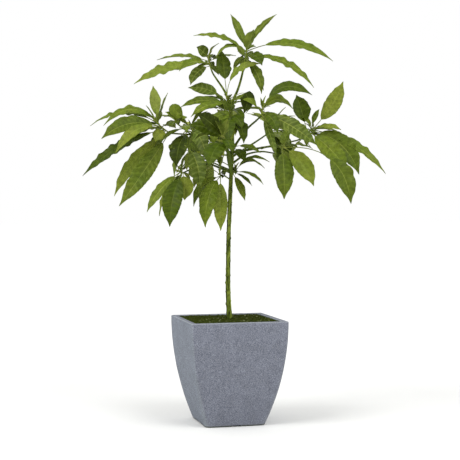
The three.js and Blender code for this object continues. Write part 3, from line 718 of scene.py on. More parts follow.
def closed_rings(rows, sides):
    """The faces of a stack of rings, with a fan over each end round the two last places."""
    around = np.arange(sides)
    beside = (around + 1) % sides
    top = (rows - 1) * sides
    foot = np.stack([beside, around, np.full(sides, rows * sides)], axis=-1)
    tip = np.stack([top + around, top + beside, np.full(sides, rows * sides + 1)], axis=-1)
    return [grid_faces(rows, sides, True), foot, tip]


def tube(pile, path, radii, sides, slot=0, relief=None):
    """A closed tube along a path in millimetres; relief(turns, share) is added to its radii."""
    tangents = unit(np.gradient(path, axis=0))
    side = np.cross(tangents[0], TUBE_SIDE)
    frames = []
    for tangent in tangents:
        side = unit(side - tangent * np.dot(side, tangent))
        frames.append((side, np.cross(tangent, side)))
    first, second = np.array(frames).transpose(1, 0, 2)
    turns = 2 * np.pi * np.arange(sides) / sides
    share = np.linspace(0, 1, len(path))
    reach = radii[:, None] + (relief(turns[None, :], share[:, None]) if relief else 0)
    rings = (
        path[:, None, :]
        + reach[..., None] * np.cos(turns)[None, :, None] * first[:, None, :]
        + reach[..., None] * np.sin(turns)[None, :, None] * second[:, None, :]
    )
    places = np.concatenate([rings.reshape(-1, 3), [path[0], path[-1]]])
    pile.add(to_world(places), closed_rings(len(path), sides), slot)


# ---------- leaves ----------

# the darkest tone (k) is painted shade; the greyish tone (g) carries a painted sheen
TONES = "ylmdgko"  # young, light, middle, dark, greyish, darkest, olive
TONE_CHANCE = {"y": 0.08, "l": 0.27, "m": 0.38, "d": 0.17, "g": 0.10}
UNDER_TONES = "yld"
UNDER_TONE = {"y": "y", "l": "l", "m": "l", "d": "d", "g": "l", "k": "d", "o": "l"}
RIB_LIGHT = len(TONES) + len(UNDER_TONES)
RIB_DARK = RIB_LIGHT + 1
COLUMNS = (0.3, 0.6, 0.86, 1.0)
VEIN_SPACING = 21.0
VEIN_COUNT = (3, 11)
VEIN_HALF = 0.4
VEIN_SWEEP = 0.17
VEIN_START = 0.08
MIDRIB_HALF = 1.1
MIDRIB_MOST = 0.12
BLADE_THICK = 0.5
# how a blade bends; a pair is a start and what chance adds
FOLD = (0.06, 0.22)
RIPPLE = (0.07, 0.15)
WAVE_LENGTH = (38, 26)
SWAY = 0.03
TWIST = 0.5
CURL = 0.10
TIP_FROM = (0.78, 0.95)
TIP_NARROWING = 0.42
QUILT = 0.028
STALK_RUNS_ON = 0.10
STALK_GROWN = 260  # length of leaf from which a stalk is as thick as they get
STALK_ROWS = 9
STALK_SIDES = 8


def pick_tone(random):
    mark = next(random)
    for tone, chance in TONE_CHANCE.items():
        mark -= chance
        if mark < 0:
            return tone
    return "m"


def vein_rows(length):
    """How many side veins a blade has, and the shares of it where its rows of vertices lie."""
    veins = int(np.clip(round(length / VEIN_SPACING), *VEIN_COUNT))
    half = VEIN_HALF / length
    rows = [0.22 / veins]
    for i in range(veins):
        centre = (i + 0.5) / veins
        rows += [centre - half, centre + half, centre + 0.33 / veins, centre + 0.67 / veins]
    rows[-1] = 1 - 0.05 / veins
    return veins, np.array(rows)


def leaf_blade(pile, leaf, tone, random):
    """A blade with a pale midrib, sunken side veins, wavy margins and a paler underside, closed all round."""
    length = leaf.length * (1 - leaf.stalk)
    veins, rows = vein_rows(length)
    narrow = min(MIDRIB_MOST, 2 * MIDRIB_HALF / leaf.width)
    sides = np.array([*(-side for side in reversed(COLUMNS)), -narrow, 0, narrow, *COLUMNS])
    wide = np.abs(sides)[None, :]
    along = rows[:, None]
    share = along + VEIN_SWEEP * (1 - np.exp(-along / VEIN_START)) * (1 - along) * wide**1.3

    fold = added(FOLD, next(random))
    ripple = added(RIPPLE, next(random)) * np.clip(length / leaf.width / 3.0, 0.8, 1.6)
    waves = length / added(WAVE_LENGTH, next(random))
    phases = np.where(sides < 0, 2 * np.pi * next(random), 2 * np.pi * next(random))[None, :]
    sway = SWAY * (next(random) - 0.5) * length
    twist = TWIST * (next(random) - 0.5)
    curl = CURL * (next(random) - 0.3)

    middle, _, across, up = leaf.frames(leaf.stalk + (1 - leaf.stalk) * share)
    turn = (twist * (share - 0.4))[..., None]
    across, up = across * np.cos(turn) + up * np.sin(turn), up * np.cos(turn) - across * np.sin(turn)
    swell = np.sin(np.pi * share.clip(0, 1))
    wave = 0.65 * np.sin(2 * np.pi * waves * share + phases)
    wave = wave + 0.45 * np.sin(2 * np.pi * 1.63 * waves * share + 2.2 * phases)
    crinkle = np.sin(2 * np.pi * 2.9 * waves * share + 1.7 * phases)
    point = 1 - TIP_NARROWING * smooth(*TIP_FROM, share)
    half = outline(share) * leaf.width / 2 * point * (1 + 0.03 * wave + 0.02 * crinkle)
    lift = half * (fold * wide - curl * wide**2 * 2 + ripple * wide**2.2 * wave * swell**0.5)
    quilt = np.abs(np.sin(np.pi * (veins * along - 0.5))) ** 0.8 * wide**0.5 * (1 - wide**4)
    lift = lift + QUILT * leaf.width * quilt * swell**0.4 - 0.5 * np.exp(-((wide / 0.1) ** 2))
    aside = sides[None, :] * half + sway * swell * (1 - 0.3 * share)
    top = middle + across * aside[..., None] + up * lift[..., None]
    ridge = BLADE_THICK + (0.9 + 0.9 * (1 - share)) * np.exp(-((wide / (1.3 * narrow)) ** 2))
    under = (top - up * ridge[..., None])[:, 1:-1]

    count, columns = top.shape[:2]
    ends = [leaf.frames(leaf.stalk)[0], leaf.foot + leaf.reach]
    places = np.concatenate([top.reshape(-1, 3), under.reshape(-1, 3), ends])
    drawn = np.stack(np.broadcast_arrays(sides[None, :], along * veins), axis=-1)
    drawn = np.concatenate([drawn.reshape(-1, 2), drawn[:, 1:-1].reshape(-1, 2), [[0, 0], [0, veins]]])
    top_index = np.arange(count * columns).reshape(count, columns)
    under_index = count * columns + np.arange(count * (columns - 2)).reshape(count, columns - 2)
    under_index = np.concatenate([top_index[:, :1], under_index, top_index[:, -1:]], axis=1)
    foot_index, tip_index = (np.full(columns - 1, len(places) - back) for back in (2, 1))

    def paint(lines, colour, rib):
        painted = np.full((lines, columns - 1), colour)
        painted[:, columns // 2 - 1 : columns // 2 + 1] = rib
        return painted.ravel()

    lamina = TONES.index(tone)
    rib = RIB_DARK if tone in "dk" else RIB_LIGHT
    below = len(TONES) + UNDER_TONES.index(UNDER_TONE[tone])
    colours = paint(count - 1, lamina, rib), paint(count - 1, below, RIB_LIGHT)
    end_colours = paint(1, lamina, rib)
    faces, slots = [], []
    for index, tints, step in ((top_index, colours[0], 1), (under_index, colours[1], -1)):
        quads = np.stack([index[:-1, :-1], index[:-1, 1:], index[1:, 1:], index[1:, :-1]], axis=-1)
        first = np.stack([index[0, :-1], foot_index, index[0, 1:]], axis=-1)
        last = np.stack([index[-1, :-1], index[-1, 1:], tip_index], axis=-1)
        faces += [block[:, ::step] for block in (quads.reshape(-1, 4), first, last)]
        slots += [tints, end_colours, end_colours]
    pile.add(to_world(places), faces, slots, drawn)


def leaf_stalk(pile, leaf, slot):
    """The stalk from the twig, swollen at its foot, that runs on under the blade as its rib."""
    at = np.linspace(0, leaf.stalk + STALK_RUNS_ON * (1 - leaf.stalk), STALK_ROWS)
    path, _, _, up = leaf.frames(at)
    grown = np.clip(leaf.length / STALK_GROWN, 0.35, 1)
    radii = (0.9 + 1.2 * grown) * (1 - 0.35 * at / at[-1]) + 1.3 * grown * np.exp(-at * leaf.length / 5)
    radii[-1] = 0.3
    path = path - up * (0.9 * grown * smooth(0.6, 1, at / at[-1]))[:, None]
    tube(pile, path, radii, STALK_SIDES, slot)


# ---------- limbs, twigs and buds ----------

GREEN_TWIG, YOUNG_TWIG, BUD = range(3)
YOUNG_LIMBS = ("leader", "left_fork")
KNOTS = (  # on the trunk: height, size, reach up and down, and bearing, or 0 for a ring all round
    (455, 1.2, 9, 0), (494, 3.2, 6, 31), (506, 1.4, 4, 211), (540, 1.2, 4, 211), (583, 3.6, 4, 31),
    (614, 1.8, 2.4, 0), (640, 1.3, 4, 31), (676, 1.2, 5, 211), (706, 1.4, 4, 31), (738, 1.2, 4, 211),
    (771, 2.4, 4, 211), (793, 2.2, 3, 31), (842, 1.0, 5, 0), (880, 1.3, 4, 211), (921, 1.5, 2.6, 0),
    (968, 1.1, 7, 0),
)
KNOT_WIDE = 0.8  # radians
SCAR_SPACING = 38
SCAR = {"high": 3.2, "wide": 0.6}  # mm and radians
DENT = {"up": 4.5, "high": 2.4, "wide": 0.5, "deep": 0.45}  # over each scar, as deep as a share of it
# mm between rings, and mm that scars, ridges and a collar at the foot stand out
TRUNK_FORM = {"sides": 28, "ring": 2.6, "scars": 1.5, "ridges": 0.34, "collar": 0}
BOUGH_FORM = {"sides": 14, "ring": 3.2, "scars": 0.8, "ridges": 0.16, "collar": 2.2}
TRUNK_SEED = 101
BOUGH_SEED = 110
SHOOT_SEED = 200
SHOOT_ROWS = 15
SHOOT_SIDES = 10
BUD_SIDES = 9
AXIL_BUD = 5.5
AXIL_LEAF = 90  # length of leaf from which there is a bud in its axil
TINY_LEAVES = 3
LEAF_SHARP = 60
LEAF_GROUPS = {
    "top": (
        "crown_top", "crown_left", "fork_spray", "upper_front", "front", "low_middle", "right_small",
        "low_right",
    ),
    "left": ("left_far", "left_inner", "left_lower", "low_left"),
    "right": ("right_upper", "right_middle", "right_far"),
    "back": ("back_left", "back_right", "back", "low_back_left", "low_back_right"),
}


def turn_from(turns, bearing):
    """How far turns are from a bearing, the shorter way round."""
    return np.angle(np.exp(1j * (turns - bearing)))


def scar_relief(random, count, length, size):
    """Leaf scars set round a limb by the golden angle, as low bumps with a dent over each."""
    shares = (np.arange(count) + 0.3 + 0.4 * np.array([next(random) for _ in range(count)])) / count
    bearings = np.radians(GOLDEN * np.arange(count)) % (2 * np.pi)
    heights = size * (0.5 + np.array([next(random) for _ in range(count)]))

    def relief(turns, share):
        total = 0
        for spot, bearing, height in zip(shares, bearings, heights):
            off = (share - spot) * length
            turn = turn_from(turns, bearing)
            bump = np.exp(-((off / SCAR["high"]) ** 2) - (turn / SCAR["wide"]) ** 2)
            dent = np.exp(-(((off - DENT["up"]) / DENT["high"]) ** 2) - (turn / DENT["wide"]) ** 2)
            total = total + height * (bump - DENT["deep"] * dent)
        return total

    return relief


def ridges(random, length, size):
    """Fine lengthwise ridges and swellings of a limb, from a few slow waves."""
    waves = [(2 + int(7 * next(random)), 2 * np.pi * next(random), next(random)) for _ in range(9)]

    def relief(turns, share):
        total = 0
        for turn_count, phase, slow in waves:
            drift = phase + 6.0 * slow * np.sin(share * length / (45 + 90 * slow) + phase)
            total = total + np.cos(turns * turn_count + drift)
        rings = np.sin(share * length / 7.3 + 1.7) * np.sin(share * length / 17.9)
        return size * (total / 5 + 0.5 * rings)

    return relief


def limb_piece(pile, limb, form, seed, slot=0, knots=()):
    """A limb with leaf scars, ridges and knots, flared at its foot or with a collar round it."""
    random = seeded(seed)
    curve = Curve(limb.path)
    foot, tip = limb.radius
    share = np.linspace(0, 1, max(8, int(curve.length / form["ring"])) + 1)
    path = curve.spots(share)
    radii = foot + (tip - foot) * share + limb.flare * np.exp(-28 * share)
    radii = radii + form["collar"] * np.exp(-share * curve.length / 14)
    scar_count = max(2, int(curve.length / SCAR_SPACING))
    scars = scar_relief(random, scar_count, curve.length, form["scars"])
    fine = ridges(random, curve.length, form["ridges"])

    def relief(turns, along):
        total = scars(turns, along) + fine(turns, along)
        for up, size, reach, bearing in knots:
            turn = turn_from(turns, math.radians(bearing)) if bearing else 0
            off = (path[:, 2][:, None] - up) / reach
            total = total + size * np.exp(-(off**2) - (turn / KNOT_WIDE) ** 2)
        return total

    tube(pile, path, radii, form["sides"], slot, relief)


def bud(pile, place, direction, size):
    """A pointed bud of overlapping scales."""
    share = np.linspace(0, 1, 9)
    radii = size * (0.05 + 0.22 * np.sin(np.pi * share**0.7) ** 0.9)
    radii[-1] = 0.2

    def scales(turns, along):
        return 0.02 * size * np.cos(3 * turns + 9 * along)

    tube(pile, place + direction * (share * size)[:, None], radii, BUD_SIDES, BUD, scales)


def tip_shoot(twigs, blades, name, stem, random):
    """A bud at the shoot's tip, with a few tiny upright leaves round it, inside the mass's reach."""
    tip = stem.spot(1)
    along = unit(tip - stem.spot(0.85))
    if to_world(tip + along * 9)[2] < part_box(name)[1][2] + REACH_OVER:
        bud(twigs, tip - along * 2, along, 11 + 4 * next(random))
    turn = 360 * next(random)
    for i in range(TINY_LEAVES):
        slope = 50 + 30 * next(random)
        length = 16 + 26 * next(random)
        reach = reach_of(length, slope, turn + i * GOLDEN)
        foot = stem.spot(0.9 + 0.1 * i / TINY_LEAVES)
        leaf = Leaf(foot, reach, 0.1 * length, length * 0.27, 40 * (next(random) - 0.5), 0.16)
        if within_reach(name, leaf):
            blades.append((leaf, "y" if i % 2 else "l"))


def axil_buds(pile, leaves):
    """A bud on the stem over each larger leaf's foot."""
    for leaf, _ in leaves:
        outward = unit(leaf.peak - leaf.foot)
        up = unit(np.array([0, 0, 1.0]) - outward * outward[2] * 0.5)
        if leaf.length > AXIL_LEAF:
            bud(pile, leaf.foot + outward * 2.2 + up * 1.2, unit(outward * 0.6 + up), AXIL_BUD)


def make_plant(materials):
    stems, crown = grow_crown()
    trunk = Pile()
    limb_piece(trunk, LIMBS["trunk"], TRUNK_FORM, TRUNK_SEED, knots=KNOTS)
    piece = trunk.build("trunk_bark", [materials["trunk"]])
    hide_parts("trunk")

    boughs = Pile()
    names = [name for name in LIMBS if name != "trunk"]
    for i, name in enumerate(names):
        limb_piece(boughs, LIMBS[name], BOUGH_FORM, BOUGH_SEED + i, 1 if name in YOUNG_LIMBS else 0)
    piece = boughs.build("boughs", [materials["bough"], materials["young_bough"]])
    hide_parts(*names)

    twigs = Pile()
    shares = np.linspace(0, 1, SHOOT_ROWS)
    piles = {group: Pile() for group in LEAF_GROUPS}
    for i, (name, mass) in enumerate(MASSES.items()):
        random = seeded(mass.seed + SHOOT_SEED)
        knots = 0.5 * np.sin(shares * 19 + i)
        radii = 3.1 - 0.9 * shares + 0.25 * knots
        tube(twigs, stems[name].spots(shares), radii, SHOOT_SIDES, GREEN_TWIG)
        leaves = crown[name]
        axil_buds(twigs, leaves)
        tip_shoot(twigs, leaves, name, stems[name], random)
        pile = next(piles[group] for group, members in LEAF_GROUPS.items() if name in members)
        for leaf, tone in leaves:
            tone = tone or pick_tone(random)
            leaf_blade(pile, leaf, tone, random)
            leaf_stalk(twigs, leaf, YOUNG_TWIG if tone in "yl" else GREEN_TWIG)
    slots = [materials[f"leaf_{tone}"] for tone in TONES]
    slots += [materials[f"under_{tone}"] for tone in UNDER_TONES]
    slots += [materials["rib_light"], materials["rib_dark"]]
    for name, group in LEAF_GROUPS.items():
        piece = piles[name].build(f"leaves_{name}", slots, LEAF_SHARP)
        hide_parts(*group)
    piece = twigs.build("twigs", [materials[key] for key in ("green_twig", "young_twig", "bud")])
    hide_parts(*MASSES)


# ---------- planter ----------

SIDE_STEPS = 14
CORNER_STEPS = 9
WALL_RINGS = 60
INNER_RINGS = 24
RIM_STEPS = 6
UNEVEN = {"size": 0.7, "seed": 7, "waves": 8, "length": (40, 160)}
TUB_SHARP = 40
CUT_SHARP = 35
BOX_FACES = [(0, 1, 3, 2), (4, 6, 7, 5), (0, 4, 5, 1), (2, 3, 7, 6), (0, 2, 6, 4), (1, 5, 7, 3)]


def wall_half(height):
    return RIM_HALF - (RIM_HALF - FOOT_HALF) * (1 - height / POT_HEIGHT) ** BULGE


def soil_half(height):
    return wall_half(height) - WALL - SOIL_CLEAR


def square_ring(half, height):
    """Places round a square with rounded corners at a height, and the way out at each."""
    radius = min(CORNER["foot"] + (CORNER["rim"] - CORNER["foot"]) * height / POT_HEIGHT, half)
    inner = half - radius
    points = [(half, -inner + 2 * inner * i / SIDE_STEPS, 0.0) for i in range(SIDE_STEPS)]
    for i in range(CORNER_STEPS):
        angle = math.pi / 2 * i / CORNER_STEPS
        points.append((inner + radius * math.cos(angle), inner + radius * math.sin(angle), angle))
    places, ways = [], []
    for quarter in range(4):
        start = math.pi / 2 * quarter
        for x, y, angle in points:
            places.append((*turned(x, y, start), height))
            ways.append((math.cos(start + angle), math.sin(start + angle)))
    return np.array(places), np.array(ways)


def uneven(places):
    """A few slow waves over places, as the small unevenness of a cast wall."""
    random = seeded(UNEVEN["seed"])
    total = 0
    for _ in range(UNEVEN["waves"]):
        way = unit([next(random) - 0.5, next(random) - 0.5, next(random) - 0.5])
        length = added(UNEVEN["length"], next(random))
        total = total + np.sin(places @ way * 2 * np.pi / length + 6.28 * next(random))
    return UNEVEN["size"] * total / UNEVEN["waves"]


def tub(profile, materials):
    """A closed square tub from a profile of (half side, height), from its bottom to its inside's middle."""
    rings, ways = (np.array(part) for part in zip(*(square_ring(half, height) for half, height in profile)))
    rings[..., :2] += ways * uneven(rings.reshape(-1, 3)).reshape(ways.shape[:2])[..., None]
    ends = [[0, 0, profile[0][1]], [0, 0, profile[-1][1]]]
    pile = Pile()
    pile.add(np.concatenate([rings.reshape(-1, 3), ends]) * MM, closed_rings(*ways.shape[:2]), 0)
    return pile.build("planter_shell", materials, TUB_SHARP)


def rim_arc(half, start, end):
    """Points round one edge of the rim as (half side, height), angles in degrees from outwards."""
    height = POT_HEIGHT - RIM_ROUND
    angles = np.radians(np.linspace(start, end, RIM_STEPS + 1))
    return [(half + RIM_ROUND * math.cos(a), height + RIM_ROUND * math.sin(a)) for a in angles]


def cut(piece, cutter):
    """Cuts one object out of another and keeps the result as its mesh."""
    modifier = piece.modifiers.new("cut", "BOOLEAN")
    modifier.object = cutter
    modifier.operation = "DIFFERENCE"
    modifier.solver = "EXACT"
    result = piece.evaluated_get(bpy.context.evaluated_depsgraph_get())
    mesh = bpy.data.meshes.new_from_object(result)
    piece.modifiers.clear()
    piece.data = mesh
    bpy.data.objects.remove(cutter)


def make_planter(materials):
    foot = wall_half(0)
    profile = [(foot - FOOT_ROUND * 1.4, 0.0), (foot - FOOT_ROUND * 0.5, FOOT_ROUND * 0.3)]
    profile += [(wall_half(h), h) for h in np.linspace(FOOT_ROUND, POT_HEIGHT - RIM_ROUND, WALL_RINGS)]
    profile += rim_arc(RIM_HALF - RIM_ROUND, 0, 90)[1:] + rim_arc(RIM_HALF - WALL + RIM_ROUND, 90, 180)
    inner = np.linspace(POT_HEIGHT - 2 * RIM_ROUND, FLOOR, INNER_RINGS)
    piece = tub(profile + [(wall_half(h) - WALL, h) for h in inner], [materials["planter"]])
    notches = Pile()
    wide, deep, high = NOTCH["wide"] / 2, NOTCH["deep"], NOTCH["high"]
    across = (FOOT_HALF - deep, FOOT_HALF + deep)
    corners = np.array([(x, y, z) for x in across for y in (-wide, wide) for z in (-high, high)])
    for quarter in range(4):
        x, y = turned(corners[:, 0], corners[:, 1], math.pi / 2 * quarter)
        notches.add(np.stack([x, y, corners[:, 2]], axis=-1) * MM, [np.array(BOX_FACES)], 0)
    cut(piece, notches.build("notches", []))
    piece.data.set_sharp_from_angle(angle=math.radians(CUT_SHARP))
    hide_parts("planter")


# ---------- soil ----------

SOIL_CELLS = 96
SOIL_LUMPS = 26
SOIL_SEED = 31
SOIL_LOWER = 2.2
HEAP = {"high": 2.5, "wide": 30, "at": (4, 20, 430)}  # round the trunk
SKIRT_ROWS = 12
CRUMB_SEED = 77
CRUMBS = 900
CHIPS = 150
CRUMB_SIZE = (1.6, 3.2)
CHIP_LARGER = 1.15
CRUMB_SUNK = 0.18
WALL_CLEAR = 7
RATIO = 1.618  # of an icosahedron's corners
BED_SHARP = 50
CRUMB_SHARP = 25


def soil_height(x, y):
    """The soil's surface in millimetres: lumpy, a little lower along the wall and heaped at the trunk."""
    random = seeded(SOIL_SEED)
    total = np.zeros_like(x)
    for _ in range(SOIL_LUMPS):
        length = 9 + 60 * next(random) ** 2
        angle = 2 * np.pi * next(random)
        phase = 2 * np.pi * next(random)
        size = length / 30
        total += size * np.sin((x * np.cos(angle) + y * np.sin(angle)) * 2 * np.pi / length + phase)
    trunk = to_world(HEAP["at"]) / MM
    heap = HEAP["high"] * np.exp(-((x - trunk[0]) ** 2 + (y - trunk[1]) ** 2) / HEAP["wide"] ** 2)
    edge = np.maximum(np.abs(x), np.abs(y)) / (RIM_HALF - WALL)
    return SOIL_TOP - SOIL_LOWER + 0.30 * total + heap - 1.2 * smooth(0.94, 1, edge)


def make_soil(materials):
    half = soil_half(SOIL_TOP)
    line = np.linspace(-1, 1, SOIL_CELLS + 1)
    u, v = np.meshgrid(line, line)
    square = CORNER["rim"] / half
    reach = np.maximum(np.abs(u), np.abs(v))
    round_corner = 1 - 0.29 * square * smooth(1 - square, 1, np.minimum(np.abs(u), np.abs(v))) * reach
    x, y = u * half * round_corner, v * half * round_corner
    top = np.stack([x, y, soil_height(x, y)], axis=-1).reshape(-1, 3)
    size = SOIL_CELLS + 1
    index = np.arange(size * size).reshape(size, size)
    rim = np.concatenate([index[0], index[1:, -1], index[-1, -2::-1], index[-2:0:-1, 0]])
    levels = np.linspace(SOIL_TOP - 12, FLOOR + 1, SKIRT_ROWS)
    faces, skirts = [grid_faces(size, size)], []
    above = rim
    for i, height in enumerate(levels):
        ring = top[rim] * (soil_half(height) / half)
        ring[:, 2] = height
        skirts.append(ring)
        below = len(top) + i * len(rim) + np.arange(len(rim))
        faces.append(np.stack([above, below, np.roll(below, -1), np.roll(above, -1)], axis=-1))
        above = below
    places = np.concatenate([top, *skirts, [[0, 0, levels[-1]]]])
    faces.append(np.stack([np.roll(above, -1), above, np.full(len(rim), len(places) - 1)], axis=-1))
    pile = Pile()
    pile.add(places * MM, faces, 0)
    piece = pile.build("soil_bed", [materials["soil"]], BED_SHARP)
    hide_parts("soil")


def hull_faces(points):
    """The triangles of a convex shape's corners, facing out."""
    faces = []
    for a, b, c in combinations(range(len(points)), 3):
        normal = np.cross(points[b] - points[a], points[c] - points[a])
        side = (points - points[a]) @ normal
        if np.all(side < 1e-6):
            faces.append((a, b, c))
        elif np.all(side > -1e-6):
            faces.append((a, c, b))
    return np.array(faces)


def make_crumbs(materials):
    """Loose crumbs and paler chips on the soil, each an uneven icosahedron."""
    crumbs = Pile()
    random = seeded(CRUMB_SEED)
    pairs = [(s, t) for s in (1, -1) for t in (1, -1)]
    corners = [(s, t * RATIO, 0) for s, t in pairs] + [(0, s, t * RATIO) for s, t in pairs]
    icosahedron = unit(corners + [(s * RATIO, 0, t) for s, t in pairs])
    hull = hull_faces(icosahedron)
    reach = soil_half(SOIL_TOP) - WALL_CLEAR
    for i in range(CRUMBS + CHIPS):
        x, y = (2 * next(random) - 1) * reach, (2 * next(random) - 1) * reach
        chip = i >= CRUMBS
        size = added(CRUMB_SIZE, next(random) ** 2) * (CHIP_LARGER if chip else 1)
        stretch = np.array([1, 0.6 + 0.4 * next(random), 0.45 + 0.4 * next(random)])
        shape = icosahedron * (0.8 + 0.4 * np.array([next(random) for _ in range(12)]))[:, None]
        shape = shape * stretch * size
        shape[:, 0], shape[:, 1] = turned(shape[:, 0], shape[:, 1], 2 * np.pi * next(random))
        height = float(soil_height(np.array(x), np.array(y)))
        slot = (1 if i % 3 else 2) if chip else 0
        crumbs.add((shape + (x, y, height + size * CRUMB_SUNK)) * MM, [hull], slot)
    slots = [materials[name] for name in ("crumb", "chip", "pale_chip")]
    piece = crumbs.build("soil_crumbs", slots, CRUMB_SHARP)


# ---------- materials ----------


class Nodes:
    """A node material with one Principled shader, and short calls to add what feeds it."""

    def __init__(self, name, colour, roughness, gloss):
        self.material = bpy.data.materials.new(name)
        self.material.use_nodes = True
        self.tree = self.material.node_tree
        self.shader = self.tree.nodes["Principled BSDF"]
        looks = {"Base Color": colour, "Roughness": roughness, "Specular IOR Level": gloss}
        for socket, value in looks.items():
            self.feed(self.shader.inputs[socket], value)
        self.material.diffuse_color = (*colour, 1)

    def feed(self, socket, value):
        """Sets a socket to a number or a colour, or links it to where its value comes from."""
        if isinstance(value, bpy.types.NodeSocket):
            self.tree.links.new(value, socket)
        else:
            socket.default_value = (*value, 1) if isinstance(value, tuple) else value

    def node(self, kind, **settings):
        made = self.tree.nodes.new(kind)
        for key, value in settings.items():
            if key in made.inputs:
                self.feed(made.inputs[key], value)
            else:
                setattr(made, key, value)
        return made

    def place(self, kind="Object"):
        return self.node("ShaderNodeTexCoord").outputs[kind]

    def parts(self, source):
        """The X, Y and Z of a direction or place."""
        made = self.node("ShaderNodeSeparateXYZ")
        self.feed(made.inputs[0], source)
        return made.outputs

    def stretched(self, scale=(1, 1, 1)):
        made = self.node("ShaderNodeMapping", Vector=self.place())
        made.inputs["Scale"].default_value = scale
        return made.outputs["Vector"]

    def noise(self, scale, detail=3, rough=0.55, stretch=(1, 1, 1)):
        place = self.stretched(stretch)
        made = self.node("ShaderNodeTexNoise", Scale=scale, Detail=detail, Roughness=rough, Vector=place)
        return made.outputs["Fac"]

    def cells(self, scale, feature="F1"):
        made = self.node("ShaderNodeTexVoronoi", feature=feature, Scale=scale, Vector=self.stretched())
        return made.outputs

    def ramp(self, value, *stops):
        """A colour that changes with a value; each stop says where, and a colour or the grey of a number."""
        made = self.node("ShaderNodeValToRGB", Fac=value)
        ramp = made.color_ramp
        while len(ramp.elements) < len(stops):
            ramp.elements.new(0.5)
        for element, (at, colour) in zip(ramp.elements, stops):
            element.position = at
            element.color = (*(colour if isinstance(colour, tuple) else (colour,) * 3), 1)
        return made.outputs["Color"]

    def mix(self, share, first, second, blend="MIX"):
        made = self.node("ShaderNodeMix", data_type="RGBA", blend_type=blend)
        for index, value in ((MIX_FACTOR, share), (MIX_FIRST, first), (MIX_SECOND, second)):
            self.feed(made.inputs[index], value)
        return made.outputs[MIX_RESULT]

    def shaded(self, colour, *shades):
        """A colour multiplied by one shade after another."""
        for shade in shades:
            colour = self.mix(1.0, colour, shade, "MULTIPLY")
        return colour

    def maths(self, operation, *values):
        made = self.node("ShaderNodeMath", operation=operation)
        for socket, value in zip(made.inputs, values):
            self.feed(socket, value)
        return made.outputs[0]

    def colour(self, source):
        self.feed(self.shader.inputs["Base Color"], source)

    def roughness(self, value, low, high):
        made = self.node("ShaderNodeMapRange", Value=value)
        made.inputs["To Min"].default_value = low
        made.inputs["To Max"].default_value = high
        self.feed(self.shader.inputs["Roughness"], made.outputs["Result"])

    def bump(self, height, strength, distance):
        made = self.node("ShaderNodeBump", Strength=strength, Distance=distance, Height=height)
        last = self.shader.inputs["Normal"]
        if last.is_linked:
            self.feed(made.inputs["Normal"], last.links[0].from_socket)
        self.feed(last, made.outputs["Normal"])


def scaled(colour, by):
    return tuple(min(1.0, channel * by) for channel in colour)


MIX_FACTOR, MIX_FIRST, MIX_SECOND = 0, 6, 7  # inputs of a colour mix
MIX_RESULT = 2
LEAF_GLOSS = 0.07
STONE_GLOSS = 0.1
SOIL_GLOSS = 0.02
BARK_ROUGH = 0.62
SOIL_ROUGH = 0.95
VEIN_WOBBLE = 0.55
BLADE_COLOURS = {  # a blade's colour, how it changes along its side veins, and how dark it is between them
    "y": ((0.225, 0.252, 0.040), (1.03, 1.03, 1.05), 0.96),
    "l": ((0.148, 0.184, 0.021), (1.05, 1.04, 1.08), 0.93),
    "m": ((0.101, 0.139, 0.011), (1.09, 1.07, 1.15), 0.90),
    "d": ((0.045, 0.070, 0.003), (1.20, 1.16, 1.40), 0.86),
    # greyish: painted sheen, its broad pale grey stripes along the side veins stand in for gloss
    "g": ((0.070, 0.100, 0.011), (1.50, 1.36, 2.30), 0.78),
    # darkest: painted shade, a darker copy of the leaf green for leaves in the crown's shade
    "k": ((0.026, 0.039, 0.002), (1.20, 1.18, 1.45), 0.90),
    "o": ((0.074, 0.104, 0.008), (1.15, 1.12, 1.40), 0.86),
}
BLADE_ROUGH = 0.42
PLAIN_COLOURS = {  # undersides, ribs and twigs: colour and roughness
    "under_y": ((0.20, 0.24, 0.045), 0.6),
    "under_l": ((0.125, 0.162, 0.022), 0.6),
    "under_d": ((0.075, 0.102, 0.012), 0.6),
    "rib_light": ((0.175, 0.210, 0.036), 0.5),
    "rib_dark": ((0.085, 0.112, 0.016), 0.5),
    "green_twig": ((0.125, 0.160, 0.022), 0.5),
    "young_twig": ((0.185, 0.220, 0.040), 0.5),
    "bud": ((0.18, 0.20, 0.04), 0.5),
}
Mottle = namedtuple("Mottle", "scale dark pale low_cast high_cast")
BLADE_MOTTLE = Mottle(60, 0.72, 1.25, (0.86, 0.91, 0.84), (1.10, 1.06, 1.10))
PLAIN_MOTTLE = Mottle(38, 0.70, 1.26, (0.84, 0.90, 0.80), (1.12, 1.06, 1.15))
# left_side is painted shade: how dark bark faces turned to the tree's left are made, 1 for none
Bark = namedtuple("Bark", "name dark middle light stretch scale specks left_side")
BARKS = {
    "trunk": Bark(
        "trunk_bark", (0.022, 0.033, 0.005), (0.108, 0.148, 0.015), (0.24, 0.29, 0.050), 0.12, 120, 110, 0.45,
    ),
    "bough": Bark(
        "bough_bark", (0.024, 0.036, 0.005), (0.062, 0.090, 0.010), (0.12, 0.155, 0.025), 0.6, 130, 260, 1,
    ),
    "young_bough": Bark(
        "young_bark", (0.050, 0.074, 0.008), (0.115, 0.160, 0.016), (0.19, 0.24, 0.036), 0.5, 130, 260, 1,
    ),
}
SOILS = {  # name, colour, and colour of its lighter grains
    "soil": ("soil", (0.025, 0.035, 0.003), (0.050, 0.062, 0.008)),
    "crumb": ("soil_crumb", (0.027, 0.036, 0.004), (0.056, 0.068, 0.011)),
    "chip": ("soil_chip", (0.060, 0.070, 0.018), (0.12, 0.13, 0.045)),
    "pale_chip": ("soil_pale_chip", (0.15, 0.16, 0.075), (0.27, 0.28, 0.16)),
}
STONE = (0.147, 0.157, 0.193)
# painted highlight: a paler stone where the rounded rim and the corners turn
EDGE_HIGHLIGHT_STONE = (0.34, 0.36, 0.37)  # along the rim and the corners
EDGE_HIGHLIGHT_SHARE = 0.45
PALE_GRIT = (0.30, 0.30, 0.27)
DARK_GRIT = (0.07, 0.075, 0.075)


